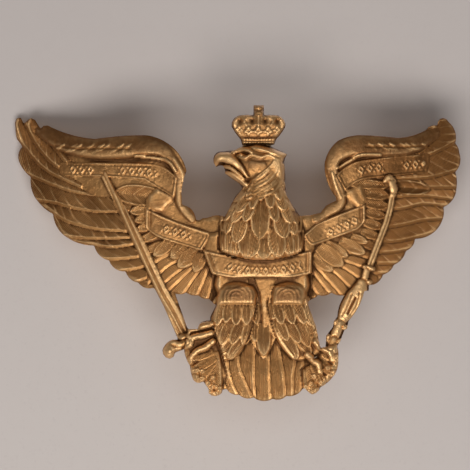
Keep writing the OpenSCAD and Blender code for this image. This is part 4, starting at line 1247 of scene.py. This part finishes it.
class Paint:
    """A small helper that builds one node material."""

    def __init__(self, name):
        self.material = bpy.data.materials.new(name)
        self.material.use_nodes = True
        self.tree = self.material.node_tree
        self.shader = self.tree.nodes["Principled BSDF"]
        self.object_place = self.node("ShaderNodeTexCoord").outputs["Object"]

    def node(self, kind, **values):
        made = self.tree.nodes.new(kind)
        for key, value in values.items():
            setattr(made, key, value)
        return made

    def link(self, source, target):
        self.tree.links.new(source, target)

    def noise(self, scale, detail=4.0, roughness=0.55, stretch=None):
        made = self.node("ShaderNodeTexNoise")
        made.inputs["Scale"].default_value = scale
        made.inputs["Detail"].default_value = detail
        made.inputs["Roughness"].default_value = roughness
        place = self.object_place
        if stretch:
            mapping = self.node("ShaderNodeMapping")
            mapping.inputs["Scale"].default_value = stretch
            self.link(place, mapping.inputs["Vector"])
            place = mapping.outputs["Vector"]
        self.link(place, made.inputs["Vector"])
        return made.outputs["Fac"]

    def cells(self, scale):
        made = self.node("ShaderNodeTexVoronoi")
        made.inputs["Scale"].default_value = scale
        self.link(self.object_place, made.inputs["Vector"])
        return made.outputs["Distance"]

    def attribute(self, name):
        made = self.node("ShaderNodeAttribute")
        made.attribute_name = name
        return made.outputs["Fac"]

    def span(self, source, low, high, out_low=0.0, out_high=1.0):
        made = self.node("ShaderNodeMapRange", interpolation_type="SMOOTHSTEP")
        self.link(source, made.inputs["Value"])
        made.inputs["From Min"].default_value = low
        made.inputs["From Max"].default_value = high
        made.inputs["To Min"].default_value = out_low
        made.inputs["To Max"].default_value = out_high
        return made.outputs["Result"]

    def blend(self, share, first, second):
        made = self.node("ShaderNodeMix", data_type="RGBA")
        self.link(share, made.inputs["Factor"])
        for source, target in ((first, made.inputs[6]), (second, made.inputs[7])):
            if isinstance(source, tuple):
                target.default_value = (*source, 1.0)
            else:
                self.link(source, target)
        return made.outputs[2]

    def mottle(self, scale, detail, low, high, first, second):
        """Two colours in patches: the noise turns from the first to the second between low and high."""
        return self.blend(self.span(self.noise(scale, detail), low, high), first, second)

    def sums(self, first, second, share):
        """first + share * second"""
        made = self.node("ShaderNodeMath", operation="MULTIPLY_ADD")
        self.link(second, made.inputs[0])
        made.inputs[1].default_value = share
        self.link(first, made.inputs[2])
        return made.outputs[0]

    def product(self, first, second):
        made = self.node("ShaderNodeMath", operation="MULTIPLY")
        self.link(first, made.inputs[0])
        self.link(second, made.inputs[1])
        return made.outputs[0]

    def wave(self, turns):
        """The sine of a number of turns."""
        angle = self.node("ShaderNodeMath", operation="MULTIPLY")
        self.link(turns, angle.inputs[0])
        angle.inputs[1].default_value = 2 * math.pi
        made = self.node("ShaderNodeMath", operation="SINE")
        self.link(angle.outputs[0], made.inputs[0])
        return made.outputs[0]

    def bump(self, source, distance, strength=1.0):
        made = self.node("ShaderNodeBump")
        made.inputs["Distance"].default_value = distance
        made.inputs["Strength"].default_value = strength
        self.link(source, made.inputs["Height"])
        self.link(made.outputs["Normal"], self.shader.inputs["Normal"])

    def finish(self, color, roughness, metallic):
        self.link(color, self.shader.inputs["Base Color"])
        self.link(roughness, self.shader.inputs["Roughness"])
        self.shader.inputs["Metallic"].default_value = metallic
        return self.material


def stamped_brass():
    p = Paint("stamped_brass")
    strand = p.product(p.wave(p.attribute("strand_turns")), p.attribute("strand_depth"))
    cavity = p.sums(p.attribute("cavity"), p.noise(420.0, 5.0), 0.16)
    cavity = p.sums(cavity, strand, 0.06)
    dirt = p.span(cavity, 0.02, -0.34)
    # Raised fine forms are painted lighter: partly rubbed wear, partly painted highlight
    wear_and_highlight = p.product(p.span(cavity, 0.12, 0.42), p.span(p.attribute("stain_and_shade"), 0.0, 1.0, 1.0, 0.2))
    patch = p.noise(55.0, 5.0, 0.6)
    color = p.blend(p.span(patch, 0.35, 0.7), (0.45, 0.222, 0.074), (0.57, 0.298, 0.108))
    color = p.mottle(160.0, 4.0, 0.5, 0.75, color, (0.35, 0.16, 0.052))
    # Painted shade: darker brown towards the wing tips and over the top of each roll
    color = p.blend(p.span(p.attribute("tips"), 0.0, 1.0, 0.0, 0.8), color, (0.235, 0.095, 0.024))
    # Darker where the field asks: old stain on the knees, painted shade over the wing rolls
    darkened = p.product(p.attribute("stain_and_shade"), p.span(p.noise(330.0, 4.0), 0.3, 0.7, 0.55, 1.0))
    color = p.blend(darkened, color, (0.17, 0.072, 0.025))
    color = p.blend(wear_and_highlight, color, (0.74, 0.45, 0.20))
    color = p.blend(dirt, color, (0.10, 0.040, 0.011))
    specks = p.span(p.cells(900.0), 0.16, 0.06)
    color = p.blend(specks, color, (0.20, 0.10, 0.035))
    rough = p.span(p.noise(260.0, 4.0), 0.3, 0.75, 0.36, 0.56)
    grainy = p.sums(p.noise(1500.0, 3.0), p.noise(5200.0, 2.0), 0.5)
    grainy = p.sums(grainy, p.noise(600.0, 4.0), 1.6)
    p.bump(p.sums(grainy, strand, 0.9), 0.00012, 0.9)
    return p.finish(color, rough, 0.82)


def plate_back_brass():
    p = Paint("plate_back_brass")
    color = p.mottle(60.0, 6.0, 0.35, 0.7, (0.36, 0.215, 0.10), (0.50, 0.32, 0.16))
    color = p.mottle(240.0, 5.0, 0.52, 0.7, color, (0.22, 0.13, 0.065))
    color = p.blend(p.span(p.attribute("margin"), 0.9, 0.1), color, (0.58, 0.38, 0.19))
    rough = p.span(p.noise(300.0, 4.0), 0.3, 0.7, 0.42, 0.64)
    p.bump(p.noise(1200.0, 4.0), 0.00007, 0.7)
    return p.finish(color, rough, 0.8)


def turned_brass():
    p = Paint("turned_brass")
    color = p.mottle(300.0, 5.0, 0.35, 0.7, (0.50, 0.33, 0.15), (0.68, 0.48, 0.24))
    color = p.mottle(900.0, 4.0, 0.55, 0.72, color, (0.27, 0.17, 0.08))
    rough = p.span(p.noise(500.0, 3.0), 0.3, 0.7, 0.3, 0.5)
    lines = p.noise(2600.0, 2.0, 0.5, (1.0, 8.0, 1.0))
    p.bump(lines, 0.00003, 0.5)
    return p.finish(color, rough, 0.95)


def grey_solder():
    p = Paint("grey_solder")
    color = p.mottle(500.0, 5.0, 0.35, 0.7, (0.23, 0.225, 0.21), (0.42, 0.41, 0.385))
    color = p.mottle(150.0, 4.0, 0.55, 0.75, color, (0.30, 0.24, 0.15))
    rough = p.span(p.noise(420.0, 3.0), 0.3, 0.7, 0.4, 0.62)
    p.bump(p.noise(900.0, 4.0), 0.00012, 0.8)
    return p.finish(color, rough, 0.75)


def brown_leather():
    p = Paint("brown_leather")
    creases = p.cells(1900.0)
    color = p.blend(p.span(creases, 0.1, 0.5), (0.035, 0.016, 0.008), (0.13, 0.062, 0.028))
    color = p.mottle(260.0, 5.0, 0.5, 0.75, color, (0.20, 0.105, 0.05))
    rough = p.span(p.noise(600.0, 4.0), 0.3, 0.7, 0.55, 0.8)
    p.bump(p.sums(creases, p.noise(3000.0, 3.0), 0.5), 0.00015, 0.8)
    return p.finish(color, rough, 0.0)


def pale_board():
    """The board behind the badge. It is see-through from its own back, to leave the badge's back in view."""
    p = Paint("pale_board")
    color = p.mottle(3.0, 3.0, 0.3, 0.7, (0.47, 0.425, 0.405), (0.50, 0.455, 0.43))
    color = p.mottle(900.0, 4.0, 0.55, 0.8, color, (0.465, 0.42, 0.40))
    rough = p.span(p.noise(200.0, 2.0), 0.3, 0.7, 0.85, 0.95)
    p.finish(color, rough, 0.0)
    clear = p.node("ShaderNodeBsdfTransparent")
    facing = p.node("ShaderNodeNewGeometry").outputs["Backfacing"]
    either = p.node("ShaderNodeMixShader")
    p.link(facing, either.inputs[0])
    p.link(p.shader.outputs[0], either.inputs[1])
    p.link(clear.outputs[0], either.inputs[2])
    p.link(either.outputs[0], p.tree.nodes["Material Output"].inputs["Surface"])
    return p.material


# ---- Assembly --------------------------------------------------------------------------------


def dress(obj, material, body, node):
    obj.data.materials.append(material)
    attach(obj, body)
    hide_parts(node)


def assemble():
    face, back = build_plate()
    dress(face, stamped_brass(), "badge", "eagle_plate")
    dress(back, plate_back_brass(), "badge", "eagle_plate")
    brass, solder, leather = turned_brass(), grey_solder(), brown_leather()
    for side, word in SIDES.items():
        washers, nut = word + "_washers", word + "_nut"
        dress(build_post(side), brass, "badge", word + "_post")
        dress(build_solder(side), solder, "badge", word + "_solder")
        pad = build_ring(word + "_leather_pad", side, *LEATHER, 0.35, 0.08, 5 + side)
        dress(pad, leather, washers, word + "_leather_washer")
        disc = build_ring(word + "_brass_disc", side, *WASHER, 0.14, 0.01, 9 + side)
        dress(disc, brass, washers, word + "_brass_washer")
        dress(build_nut(side), brass, nut, word + "_nut")


# ---- Board, light and camera -------------------------------------------------------------------

# The board's half width is in metres
BOARD_HALF = 0.9
BOARD_Y = 26.2
VIEW_CENTRE = (-9.4, 0.35)
VIEW_WIDE = 163.56
VIEW_DEPTH = 8.0
CAMERA_FAR = 2600.0
SENSOR = 36.0
WORLD_COLOR = (0.93, 0.93, 0.95, 1.0)
WORLD_STRENGTH = 0.13


def area_light(name, place, target, size, power, color):
    data = bpy.data.lights.new(name, "AREA")
    data.shape = "RECTANGLE"
    data.size, data.size_y = size
    data.energy = power
    data.color = color
    obj = bpy.data.objects.new(name, data)
    bpy.context.collection.objects.link(obj)
    obj.location = Vector(place)
    obj.rotation_euler = (Vector(target) - Vector(place)).to_track_quat("-Z", "Y").to_euler()
    return obj


def build_studio():
    half, y = BOARD_HALF, BOARD_Y * MM
    corners = [(-half, y, -half), (half, y, -half), (half, y, half), (-half, y, half)]
    board = mesh_object("board", corners, [[0, 1, 2, 3]], False)
    board.data.materials.append(pale_board())
    # Light passes the board, so that it reaches the badge's back
    board.visible_shadow = False
    area_light("key", (-0.06, -1.05, -0.66), (0, 0, 0), (1.5, 0.55), 16.8, (1.0, 0.975, 0.95))
    area_light("fill", (0.1, -1.4, 0.2), (0, 0, 0), (0.9, 0.7), 3.4, (0.98, 0.985, 1.0))
    area_light("rear", (0.2, 0.6, 0.3), (0, 0, 0), (0.6, 0.6), 5.0, (1.0, 0.99, 0.97))
    world = bpy.data.worlds.new("studio")
    world.use_nodes = True
    background = world.node_tree.nodes["Background"]
    background.inputs["Color"].default_value = WORLD_COLOR
    background.inputs["Strength"].default_value = WORLD_STRENGTH
    bpy.context.scene.world = world


def build_camera():
    data = bpy.data.cameras.new("camera")
    data.sensor_width = SENSOR
    data.lens = SENSOR * CAMERA_FAR / VIEW_WIDE
    data.clip_start, data.clip_end = 0.1, 20.0
    obj = bpy.data.objects.new("camera", data)
    bpy.context.collection.objects.link(obj)
    obj.location = (VIEW_CENTRE[0] * MM, (VIEW_DEPTH - CAMERA_FAR) * MM, VIEW_CENTRE[1] * MM)
    obj.rotation_euler = (math.pi / 2, 0, 0)
    bpy.context.scene.camera = obj
    bpy.context.scene.view_settings.view_transform = "Standard"


assemble()
build_studio()
build_camera()
